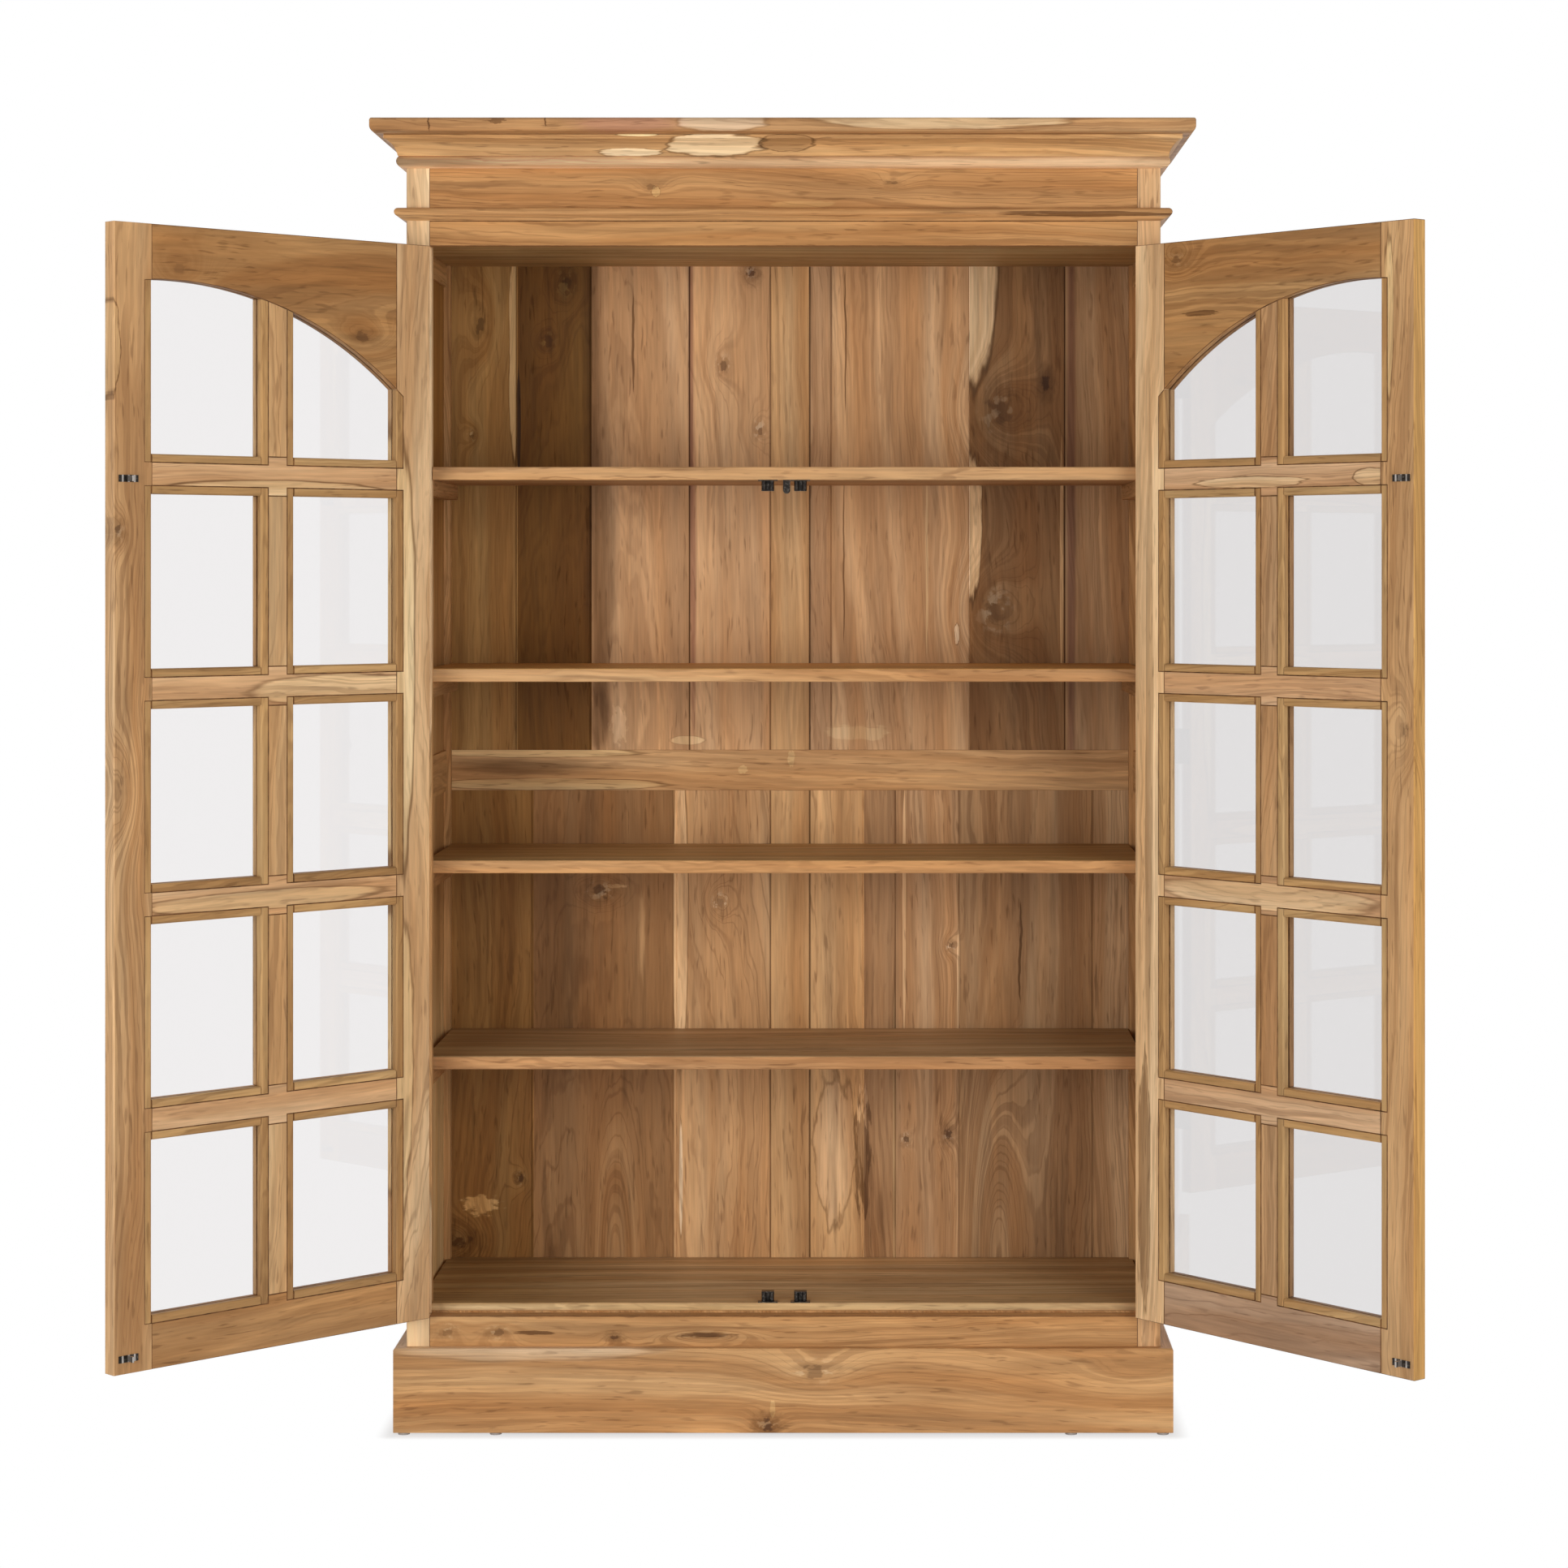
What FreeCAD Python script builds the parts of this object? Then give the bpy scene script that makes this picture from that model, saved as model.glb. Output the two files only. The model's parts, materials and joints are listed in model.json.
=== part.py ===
import FreeCAD, Part
import os
import math

from FreeCAD import Vector

# A solid wood display cabinet with two glazed doors, shown with its doors standing open.
# X runs to the right, Y to the back and Z up, in millimetres.
# The origin is on the floor, in the middle of the back, which stands against a wall.
# Left and right are the viewer's, so the left side has negative X.

# Case, from the floor up
body_width = 1150.0
body_depth = 400.0
glide_height = 4.0
plinth_height = 128.0
bottom_rail_reveal = 46.0
opening_height = 1632.0
top_rail_height = 38.0
frieze_bead_height = 19.0
frieze_height = 61.0
cornice_bead_height = 18.0
cove_height = 24.0
cove_fillet_height = 7.0
top_board_thickness = 23.0

# How far each moulding stands out from the case
plinth_overhang = 18.0
frieze_bead_overhang = 17.0
cornice_bead_overhang = 14.0
cove_foot_overhang = 12.0
cove_head_overhang = 28.0
cove_fillet_overhang = 31.0
top_board_overhang = 50.0
top_board_round = 4.0
top_board_lower_round = 11.0
plinth_ease = 2.5
bead_knee_out_share = 0.7
frieze_bead_knee_share = 0.34
cornice_bead_knee_share = 0.12
hollow_out_share = 0.3
hollow_up_share = 0.56

# Posts and the rebate that the doors close into
front_post_width = 35.0
front_post_depth = 45.0
rear_post_width = 22.0
rear_post_depth = 30.0
door_rebate_width = 16.0
door_rebate_depth = 26.0
arris_ease = 1.2

# Rails, boards and panels of the case
front_rail_thickness = 26.0
bottom_rail_hidden = 55.0
frieze_board_thickness = 18.0
side_rail_thickness = 16.0
side_bottom_rail_top_gap = 7.0
side_top_rail_drop = 35.0
mid_rail_height = 66.0
mid_rail_share = 0.4767
side_panel_thickness = 8.0
side_panel_recess = 3.0
back_frame_thickness = 15.0
back_board_thickness = 9.0
back_board_recess = 2.0
back_muntin_width = 62.0
panel_groove_depth = 6.0
seam_chamfer = 0.8
upper_seam_shares = (-0.81, -0.591, -0.297, 0.121, 0.53, 0.812)
lower_seam_shares = (-0.763, -0.335, 0.215, 0.311, 0.499, 0.893)
case_tenon_length = 18.0
case_tenon_thickness = 8.0
case_tenon_shoulder = 9.0
back_tenon_thickness = 6.0
back_tenon_length = 10.0

# Floor, ceiling and shelves
floor_thickness = 12.0
floor_lift = 3.0
ceiling_thickness = 12.0
ceiling_drop = 2.0
shelf_thickness = 20.0
shelf_end_gap = 1.0
shelf_back_gap = 1.0
shelf_setback = 50.0
shelf_top_shares = (0.794, 0.604, 0.4234, 0.2384)
cleat_width = 20.0
cleat_height = 24.0
cleat_wall_gap = 3.0

# Glides under the plinth
glide_radius = 9.0
glide_outer_inset = 6.0
glide_inner_share = 0.762
glide_front_inset = 12.0
glide_back_inset = 10.0

# Doors, whose angles are in degrees
door_thickness = 24.0
door_side_gap = 1.5
door_end_gap = 2.0
meeting_gap = 3.0
left_door_angle = 135.7
right_door_angle = 130.7
stile_width = 62.0
door_bottom_rail_height = 77.0
glazing_bar_width = 57.0
cross_rail_count = 4
arch_top_margin = 78.0
arch_radius = 614.0
arch_centre_setback = 98.0
tenon_length = 30.0
tenon_thickness = 8.0
tenon_front_skin = 8.0
tenon_shoulder = 14.0
muntin_tenon_length = 10.0
muntin_tenon_width = 25.0

# Glass, its rebate and the beads that hold it
glazing_rebate_width = 12.0
glazing_rebate_front = 10.0
glass_thickness = 3.0
glass_edge_gap = 1.5
arch_groove_depth = 8.0
arch_glass_gap = 1.0
bead_ease = 2.0

# Hinges
hinge_height_shares = (0.09, 0.5, 0.91)
hinge_length = 64.0
hinge_knuckle_count = 3
hinge_leaf_thickness = 1.5
hinge_leaf_depth = 20.0
hinge_pin_radius = 1.5
hinge_pin_clearance = 0.05
hinge_knuckle_radius = 3.5
hinge_knuckle_gap = 0.3
hinge_axis_lead = 4.0

# Double roller catches and the strikes on the doors
catch_edge_inset = 23.5
catch_plate_width = 30.0
catch_plate_depth = 14.0
catch_sheet = 1.5
catch_body_width = 19.0
catch_height = 17.0
roller_radius = 3.5
roller_slot = 5.4
roller_end_gap = 0.3
roller_setback = 7.5
roller_pin_radius = 1.25
roller_pin_clearance = 0.05
catch_flange_setback = 1.0
strike_plate_width = 32.0
strike_plate_height = 10.0
strike_sheet = 1.2
strike_tongue_height = 8.0
strike_neck_half = 1.3
strike_head_half = 2.3
strike_tip_half = 0.7
strike_head_lead = 2.0
strike_neck_back = 0.5
strike_tip_reach = 4.0

# Stop lug under the top shelf
stop_lug_offset = 4.0
stop_lug_width = 11.0
stop_lug_height = 21.0
stop_lug_foot = 14.0

# Knobs on the outer faces of the doors
knob_height_share = 0.49
knob_radius = 13.0
knob_reach = 20.0
knob_rose_radius = 11.0
knob_rose_thickness = 2.5
knob_stem_radius = 5.0
knob_cap_thickness = 8.0

# One overrun for every cut that runs out of a piece, and the turns used in degrees
overrun = 5.0
quarter_turn = 90
full_turn = 360

# Levels
plinth_top = glide_height + plinth_height
opening_bottom = plinth_top + bottom_rail_reveal
opening_top = opening_bottom + opening_height
top_rail_top = opening_top + top_rail_height
frieze_bead_top = top_rail_top + frieze_bead_height
frieze_top = frieze_bead_top + frieze_height
cornice_bead_top = frieze_top + cornice_bead_height
cornice_top = cornice_bead_top + cove_height + cove_fillet_height
cabinet_top = cornice_top + top_board_thickness
floor_top = opening_bottom + floor_lift + floor_thickness
floor_bottom = opening_bottom + floor_lift
ceiling_bottom = opening_top + ceiling_drop
mid_rail_bottom = opening_bottom + mid_rail_share * opening_height
mid_rail_top = mid_rail_bottom + mid_rail_height
side_top_rail_bottom = ceiling_bottom - side_top_rail_drop
side_bottom_rail_top = floor_top - side_bottom_rail_top_gap
bottom_rail_bottom = plinth_top - bottom_rail_hidden
shelf_tops = [opening_bottom + share * opening_height for share in shelf_top_shares]

# Planes
side_x = body_width / 2
front_y = -body_depth
back_y = 0
post_inner_x = side_x - front_post_width
post_back_y = front_y + front_post_depth
rear_post_inner_x = side_x - rear_post_width
rear_post_front_y = back_y - rear_post_depth
rebate_wall_x = post_inner_x + door_rebate_width
stop_y = front_y + door_rebate_depth
side_rail_inner_x = side_x - side_rail_thickness
side_panel_outer_x = side_x - side_panel_recess
side_panel_inner_x = side_panel_outer_x - side_panel_thickness
back_frame_front_y = back_y - back_frame_thickness
back_board_front_y = back_frame_front_y + back_board_recess
back_board_back_y = back_board_front_y + back_board_thickness

# Door planes, for the left door when it is closed
door_edge_x = -(rebate_wall_x - door_side_gap)
door_meeting_x = -meeting_gap / 2
door_bottom = opening_bottom + door_end_gap
door_top = opening_top - door_end_gap
door_back_y = front_y + door_thickness
hinge_x = -(rebate_wall_x - door_side_gap / 2)
hinge_y = front_y - hinge_axis_lead
arch_centre_x = door_meeting_x - arch_centre_setback
arch_crown_z = door_top - arch_top_margin
arch_centre_z = arch_crown_z - arch_radius
catch_x = door_meeting_x - catch_edge_inset
roller_y = stop_y + roller_setback
upward = Vector(0, 0, 1)

os.makedirs("parts", exist_ok=True)


def save(name, *solids):
    """Write one node, made of one solid or of several separate ones."""
    shape = solids[0] if len(solids) == 1 else Part.makeCompound(list(solids))
    shape.exportStep(os.path.join("parts", name + ".step"))


def mirrored(shape):
    """The same piece on the other side of the cabinet."""
    return shape.mirror(Vector(0, 0, 0), Vector(1, 0, 0))


def block(x0, x1, y0, y1, z0, z1):
    """A rectangular piece between two planes in each direction."""
    return Part.makeBox(x1 - x0, y1 - y0, z1 - z0, Vector(x0, y0, z0))


def prism(points, travel):
    """A flat outline of straight edges, drawn out along a vector."""
    outline = list(points) + [points[0]]
    return Part.Face(Part.makePolygon(outline)).extrude(travel)


def cut_all(shape, tools):
    """The shape without each of the tools that reach it."""
    for tool in tools:
        if shape.BoundBox.intersect(tool.BoundBox):
            shape = shape.cut(tool)
    return shape


def fuse_all(shape, additions):
    """The shape and what is added to it, as one clean solid."""
    for addition in additions:
        shape = shape.fuse(addition)
    return shape.removeSplitter()


def eased_outline(a0, a1, b0, b1, eased):
    """Corners of a rectangle in order, where the numbered ones are taken off by the arris ease."""
    cut = arris_ease
    corners = (
        ((a0, b0), (a0, b0 + cut), (a0 + cut, b0)),
        ((a1, b0), (a1 - cut, b0), (a1, b0 + cut)),
        ((a1, b1), (a1, b1 - cut), (a1 - cut, b1)),
        ((a0, b1), (a0 + cut, b1), (a0, b1 - cut)),
    )
    points = []
    for number, (sharp, first, second) in enumerate(corners):
        points += [first, second] if number in eased else [sharp]
    return points


def upright(x0, x1, y0, y1, z0, z1, eased=()):
    """A vertical member. Corners are numbered from the left front one, round by the right."""
    outline = eased_outline(x0, x1, y0, y1, eased)
    return prism([Vector(x, y, z0) for x, y in outline], Vector(0, 0, z1 - z0))


def crosswise(x0, x1, y0, y1, z0, z1, eased=()):
    """A member along X. Corners are numbered from the lower front one, round by the back."""
    outline = eased_outline(y0, y1, z0, z1, eased)
    return prism([Vector(x0, y, z) for y, z in outline], Vector(x1 - x0, 0, 0))


def round_bar(radius, x, y, z0, z1):
    """An upright round bar."""
    return Part.makeCylinder(radius, z1 - z0, Vector(x, y, z0), upward)


def moulding(profile):
    """A moulding round the front and both sides, mitred at the front corners.

    The profile is a face in the YZ plane, whose case side is at Y zero and which stands out to -Y.
    """
    reach = side_x + top_board_overhang + overrun
    depth = body_depth + top_board_overhang + overrun
    corner = (-side_x, front_y)
    far_corner = (corner[0] - depth, corner[1] - depth)
    low = profile.BoundBox.ZMin - overrun
    rise = Vector(0, 0, profile.BoundBox.ZLength + overrun * 2)

    front_run = profile.copy()
    front_run.translate(Vector(-reach, front_y, 0))
    front_run = front_run.extrude(Vector(reach * 2, 0, 0))
    front_plan = (
        corner,
        far_corner,
        (-far_corner[0], far_corner[1]),
        (-corner[0], corner[1]),
    )
    front = front_run.common(prism([Vector(x, y, low) for x, y in front_plan], rise))

    side_run = profile.copy()
    side_run.rotate(Vector(0, 0, 0), upward, -quarter_turn)
    side_run.translate(Vector(-side_x, back_y - depth, 0))
    side_run = side_run.extrude(Vector(0, depth, 0))
    side_plan = (corner, far_corner, (far_corner[0], back_y), (corner[0], back_y))
    side = side_run.common(prism([Vector(x, y, low) for x, y in side_plan], rise))
    return front, side, mirrored(side)


def profile_face(edges):
    """A closed moulding profile from its edges."""
    return Part.Face(Part.Wire(edges))


def line(start, end):
    """A straight profile edge between two (outward, height) points."""
    return Part.makeLine(Vector(0, -start[0], start[1]), Vector(0, -end[0], end[1]))


def arc(start, middle, end):
    """A profile arc through three (outward, height) points."""
    points = [Vector(0, -out, height) for out, height in (start, middle, end)]
    return Part.Arc(*points).toShape()


def bead_profile(bottom, top, overhang, knee_share):
    """A bullnose bead over a sloping underside, whose knee is at a share of the height."""
    knee = (overhang * bead_knee_out_share, bottom + (top - bottom) * knee_share)
    crown = (overhang * bead_knee_out_share, top)
    nose = (overhang, (knee[1] + crown[1]) / 2)
    return profile_face([
        line((0, bottom), knee),
        arc(knee, nose, crown),
        line(crown, (0, top)),
        line((0, top), (0, bottom)),
    ])


def cove_profile(bottom, fillet_bottom, top):
    """A hollow moulding that spreads up to a narrow fillet."""
    foot = (cove_foot_overhang, bottom)
    head = (cove_head_overhang, fillet_bottom)
    spread = cove_head_overhang - cove_foot_overhang
    hollow = (
        cove_foot_overhang + spread * hollow_out_share,
        bottom + (fillet_bottom - bottom) * hollow_up_share,
    )
    lip = (cove_fillet_overhang, fillet_bottom)
    crown = (cove_fillet_overhang, top)
    return profile_face([
        line((0, bottom), foot),
        arc(foot, hollow, head),
        line(head, lip),
        line(lip, crown),
        line(crown, (0, top)),
        line((0, top), (0, bottom)),
    ])


def plinth_profile():
    """A flat board with its top outer arris taken off."""
    shoulder = (plinth_overhang, plinth_top - plinth_ease)
    ease = (plinth_overhang - plinth_ease, plinth_top)
    return profile_face([
        line((0, glide_height), (plinth_overhang, glide_height)),
        line((plinth_overhang, glide_height), shoulder),
        line(shoulder, ease),
        line(ease, (0, plinth_top)),
        line((0, plinth_top), (0, glide_height)),
    ])


def side_tenons(bottom, top):
    """Tenons at both ends of a left side rail, into the front and the rear post."""
    inner = side_rail_inner_x + (side_rail_thickness - case_tenon_thickness) / 2
    low = bottom + case_tenon_shoulder
    high = top - case_tenon_shoulder
    left, right = -(inner + case_tenon_thickness), -inner
    front = block(left, right, post_back_y - case_tenon_length, post_back_y, low, high)
    rear = block(left, right, rear_post_front_y, rear_post_front_y + case_tenon_length, low, high)
    return front, rear


def front_tenon(bottom, top):
    """The left tenon of a front rail, into the front post."""
    middle = front_y + front_rail_thickness / 2
    half = case_tenon_thickness / 2
    return block(
        -(post_inner_x + case_tenon_length), -post_inner_x,
        middle - half, middle + half,
        bottom + case_tenon_shoulder, top - case_tenon_shoulder,
    )


def back_tenon(bottom, top):
    """The left tenon of a back rail, into the rear post."""
    middle = back_y - back_frame_thickness / 2
    half = back_tenon_thickness / 2
    return block(
        -(rear_post_inner_x + back_tenon_length), -rear_post_inner_x,
        middle - half, middle + half,
        bottom + case_tenon_shoulder, top - case_tenon_shoulder,
    )


# Side panels, and the rails they sit between
side_rail_spans = (
    (bottom_rail_bottom, side_bottom_rail_top),
    (mid_rail_bottom, mid_rail_top),
    (side_top_rail_bottom, cornice_top),
)
side_panels = []
for below, above in zip(side_rail_spans, side_rail_spans[1:]):
    side_panels.append(block(
        -side_panel_outer_x, -side_panel_inner_x,
        post_back_y - panel_groove_depth, rear_post_front_y + panel_groove_depth,
        below[1] - panel_groove_depth, above[0] + panel_groove_depth,
    ))

side_rails = []
side_rail_tenons = []
for low, high in side_rail_spans:
    rail = block(-side_x, -side_rail_inner_x, post_back_y, rear_post_front_y, low, high)
    tenons = side_tenons(low, high)
    side_rail_tenons += tenons
    side_rails.append(cut_all(fuse_all(rail, tenons), side_panels))

# Back: rails, a middle muntin in two lengths, and upright boards in two tiers
back_rail_spans = (
    (glide_height, floor_top - side_bottom_rail_top_gap),
    (mid_rail_bottom, mid_rail_top),
    (ceiling_bottom, cornice_top),
)
back_rail_tenons = []
back_rails = []
for low, high in back_rail_spans:
    rail = block(-rear_post_inner_x, rear_post_inner_x, back_frame_front_y, back_y, low, high)
    tenon = back_tenon(low, high)
    back_rail_tenons.append(tenon)
    back_rails.append(fuse_all(rail, (tenon, mirrored(tenon))))

muntin_half = back_muntin_width / 2
back_muntins = []
for below, above in zip(back_rail_spans, back_rail_spans[1:]):
    back_muntins.append(block(
        -muntin_half, muntin_half, back_frame_front_y, back_y, below[1], above[0],
    ))


def back_board(x0, x1, z0, z1):
    """One upright board, whose front arrises are taken off so that its seams show."""
    outline = (
        (x0, back_board_back_y),
        (x0, back_board_front_y + seam_chamfer),
        (x0 + seam_chamfer, back_board_front_y),
        (x1 - seam_chamfer, back_board_front_y),
        (x1, back_board_front_y + seam_chamfer),
        (x1, back_board_back_y),
    )
    return prism([Vector(x, y, z0) for x, y in outline], Vector(0, 0, z1 - z0))


def back_tier(seam_shares, z0, z1):
    """The boards of one tier, from the left rear post by the muntin to the right one."""
    outer = rear_post_inner_x + panel_groove_depth
    inner = muntin_half - panel_groove_depth
    seams = [share * rear_post_inner_x for share in seam_shares]
    left_edges = [-outer] + [x for x in seams if x < 0] + [-inner]
    right_edges = [inner] + [x for x in seams if x > 0] + [outer]
    boards = []
    for edges in (left_edges, right_edges):
        for x0, x1 in zip(edges, edges[1:]):
            boards.append(back_board(x0, x1, z0, z1))
    return boards


def back_field(x0, x1, below, above):
    """The room that one field of back boards takes, with its grooves."""
    return block(
        x0, x1, back_board_front_y, back_board_back_y,
        below[1] - panel_groove_depth, above[0] + panel_groove_depth,
    )


back_tiers = []
back_fields = []
for shares, below, above in zip(
    (lower_seam_shares, upper_seam_shares), back_rail_spans, back_rail_spans[1:]
):
    low = below[1] - panel_groove_depth
    high = above[0] + panel_groove_depth
    back_tiers.append(back_tier(shares, low, high))
    outer = rear_post_inner_x + panel_groove_depth
    inner = muntin_half - panel_groove_depth
    back_fields.append(back_field(-outer, -inner, below, above))
    back_fields.append(back_field(inner, outer, below, above))

back_rails = [cut_all(rail, back_fields) for rail in back_rails]
back_muntins = [cut_all(muntin, back_fields) for muntin in back_muntins]


def hinge_cylinder(radius, z0, z1):
    """A round bar on the left door's hinge axis."""
    return round_bar(radius, hinge_x, hinge_y, z0, z1)


def hinge(height):
    """One left butt hinge, closed: its frame leaf with the pin, its door leaf, and both mortises."""
    low = height - hinge_length / 2
    high = height + hinge_length / 2
    third = hinge_length / hinge_knuckle_count
    leaf_back_y = front_y + hinge_leaf_depth
    frame_x = -rebate_wall_x - hinge_leaf_thickness, -rebate_wall_x
    door_x = door_edge_x, door_edge_x + hinge_leaf_thickness
    frame_sheet = block(*frame_x, front_y, leaf_back_y, low, high)
    door_sheet = block(*door_x, front_y, leaf_back_y, low, high)
    frame_knuckles = (
        (low, low + third - hinge_knuckle_gap),
        (high - third + hinge_knuckle_gap, high),
    )
    frame_additions = []
    for z0, z1 in frame_knuckles:
        frame_additions.append(hinge_cylinder(hinge_knuckle_radius, z0, z1))
        frame_additions.append(block(*frame_x, hinge_y, front_y, z0, z1))
    frame_additions.append(hinge_cylinder(hinge_pin_radius, low, high))
    door_additions = (
        hinge_cylinder(hinge_knuckle_radius, low + third, high - third),
        block(*door_x, hinge_y, front_y, low + third, high - third),
    )
    bore = hinge_cylinder(hinge_pin_radius + hinge_pin_clearance, low, high)
    frame_leaf = fuse_all(frame_sheet, frame_additions)
    door_leaf = fuse_all(door_sheet, door_additions).cut(bore)
    return frame_leaf, door_leaf, frame_sheet, door_sheet


hinge_heights = [door_bottom + share * (door_top - door_bottom) for share in hinge_height_shares]
hinges = [hinge(height) for height in hinge_heights]
frame_leaves = [parts[0] for parts in hinges]
door_leaves = [parts[1] for parts in hinges]
frame_mortises = [parts[2] for parts in hinges]
door_mortises = [parts[3] for parts in hinges]

# Posts
front_rail_spans = (
    (bottom_rail_bottom, opening_bottom),
    (opening_top, top_rail_top),
)
front_tenons = [front_tenon(low, high) for low, high in front_rail_spans]
front_post_blank = upright(
    -side_x, -post_inner_x, front_y, post_back_y, glide_height, cornice_top, eased=(0,)
)
door_rebate = block(
    -rebate_wall_x, -post_inner_x + overrun, front_y - overrun, stop_y,
    opening_bottom, opening_top,
)
front_post = cut_all(
    front_post_blank,
    [door_rebate] + side_rail_tenons + side_panels + front_tenons + frame_mortises,
)
rear_post_blank = block(
    -side_x, -rear_post_inner_x, rear_post_front_y, back_y, glide_height, cornice_top
)
rear_post = cut_all(
    rear_post_blank,
    side_rail_tenons + side_panels + back_rail_tenons + back_fields,
)

# Rails, frieze and mouldings of the front
front_rails = []
for (low, high), tenon in zip(front_rail_spans, front_tenons):
    rail = block(
        -post_inner_x, post_inner_x, front_y, front_y + front_rail_thickness, low, high
    )
    front_rails.append(fuse_all(rail, (tenon, mirrored(tenon))))
frieze_board = block(
    -post_inner_x, post_inner_x, front_y, front_y + frieze_board_thickness,
    top_rail_top, cornice_top,
)
frieze_bead = moulding(bead_profile(
    top_rail_top, frieze_bead_top, frieze_bead_overhang, frieze_bead_knee_share
))
cornice_bead = moulding(bead_profile(
    frieze_top, cornice_bead_top, cornice_bead_overhang, cornice_bead_knee_share
))
cornice_cove = moulding(cove_profile(cornice_bead_top, cornice_bead_top + cove_height, cornice_top))
plinth = moulding(plinth_profile())

# Top board, rounded along its front and ends, more so below
top_board_reach = side_x + top_board_overhang
top_board = block(
    -top_board_reach, top_board_reach, front_y - top_board_overhang, back_y,
    cornice_top, cabinet_top,
)
for height, radius in ((cornice_top, top_board_lower_round), (cabinet_top, top_board_round)):
    rounded_edges = []
    for edge in top_board.Edges:
        box = edge.BoundBox
        level = abs(box.ZMin - height) + abs(box.ZMax - height) < arris_ease
        if level and edge.CenterOfMass.y < back_y - arris_ease:
            rounded_edges.append(edge)
    top_board = top_board.makeFillet(radius, rounded_edges)

# Boards that fit round the posts
left_posts = (front_post_blank, rear_post_blank)
all_posts = left_posts + tuple(mirrored(post) for post in left_posts)


def board_between(half_length, y0, y1, z0, z1, eased=()):
    """A level board, cut round the posts that it meets."""
    return cut_all(crosswise(-half_length, half_length, y0, y1, z0, z1, eased), all_posts)


ceiling_board = board_between(
    side_rail_inner_x, stop_y, back_frame_front_y,
    ceiling_bottom, ceiling_bottom + ceiling_thickness,
)
floor_board = board_between(
    side_rail_inner_x, stop_y, back_frame_front_y, floor_bottom, floor_top, eased=(3,)
)
shelf_half_length = rear_post_inner_x - shelf_end_gap
shelf_back_y = back_frame_front_y - shelf_back_gap
post_clearance = block(
    -side_x, -(post_inner_x - shelf_end_gap), front_y, post_back_y + shelf_end_gap,
    glide_height, cornice_top,
)
shelves = []
for number, top in enumerate(shelf_tops):
    shelf_front_y = stop_y if number == 0 else front_y + shelf_setback
    shelf = crosswise(
        -shelf_half_length, shelf_half_length, shelf_front_y, shelf_back_y,
        top - shelf_thickness, top, eased=(0, 3),
    )
    shelves.append(cut_all(shelf, (post_clearance, mirrored(post_clearance))))

# Cleats under the shelves, and a ring of them under the floor
cleats = []
cleat_outer_x = side_panel_inner_x - cleat_wall_gap
for top in shelf_tops:
    cleat = block(
        -cleat_outer_x, -(cleat_outer_x - cleat_width), post_back_y, rear_post_front_y,
        top - shelf_thickness - cleat_height, top - shelf_thickness,
    )
    cleats += [cleat, mirrored(cleat)]
floor_cleat = block(
    -side_rail_inner_x, -(side_rail_inner_x - cleat_width), post_back_y, rear_post_front_y,
    floor_bottom - cleat_height, floor_bottom,
)
front_floor_cleat = block(
    -post_inner_x, post_inner_x, stop_y, post_back_y, floor_bottom - cleat_height, floor_bottom
)
floor_cleat_reach = side_rail_inner_x - cleat_width
back_floor_cleat = block(
    -floor_cleat_reach, floor_cleat_reach, back_frame_front_y - cleat_width, back_frame_front_y,
    floor_bottom - cleat_height, floor_bottom,
)
cleats += [floor_cleat, mirrored(floor_cleat), front_floor_cleat, back_floor_cleat]

# Glides: four under the front of the plinth and four at the back
plinth_reach = side_x + plinth_overhang
glide_xs = (plinth_reach - glide_outer_inset - glide_radius, glide_inner_share * side_x)
glide_ys = (
    front_y - plinth_overhang + glide_front_inset,
    back_y - glide_back_inset,
)
glides = []
for x in glide_xs:
    for y in glide_ys:
        glide = round_bar(glide_radius, -x, y, 0, glide_height)
        glides += [glide, mirrored(glide)]

# Doors, built closed on the left side
stile_x = door_edge_x + stile_width
meeting_stile_x = door_meeting_x - stile_width
bar_mid_x = (stile_x + meeting_stile_x) / 2
bar_half = glazing_bar_width / 2
first_row_bottom = door_bottom + door_bottom_rail_height
row_count = cross_rail_count + 1
row_height = (arch_crown_z - first_row_bottom - cross_rail_count * glazing_bar_width) / row_count
glazing_row_pitch = row_height + glazing_bar_width
rail_bottoms = [
    first_row_bottom + row_height + row * glazing_row_pitch for row in range(cross_rail_count)
]
row_bottoms = [first_row_bottom] + [bottom + glazing_bar_width for bottom in rail_bottoms]
columns = ((stile_x, bar_mid_x - bar_half), (bar_mid_x + bar_half, meeting_stile_x))
rebate_y = front_y + glazing_rebate_front
glass_back_y = rebate_y + glass_thickness


def door_block(x0, x1, z0, z1):
    """A piece of the door frame at its full thickness."""
    return block(x0, x1, front_y, door_back_y, z0, z1)


def arch_disc(radius, y0, y1):
    """A disc across the door on the centre of the arch."""
    return Part.makeCylinder(
        radius, y1 - y0, Vector(arch_centre_x, y0, arch_centre_z), Vector(0, 1, 0)
    )


def arch_height(x):
    """The height of the arch's underside at a place across the door."""
    return arch_centre_z + math.sqrt(arch_radius ** 2 - (x - arch_centre_x) ** 2)


def rail_tenons(z0, z1, z2, z3):
    """A rail's tenons into the hinge stile, from z0 to z1, and the meeting stile, z2 to z3."""
    y0 = front_y + tenon_front_skin
    y1 = y0 + tenon_thickness
    return (
        block(stile_x - tenon_length, stile_x, y0, y1, z0, z1),
        block(meeting_stile_x, meeting_stile_x + tenon_length, y0, y1, z2, z3),
    )


def muntin_tenon(z0, z1):
    """A short tenon in the middle of a muntin's end."""
    y0 = front_y + tenon_front_skin
    half = muntin_tenon_width / 2
    return block(bar_mid_x - half, bar_mid_x + half, y0, y0 + tenon_thickness, z0, z1)


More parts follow.
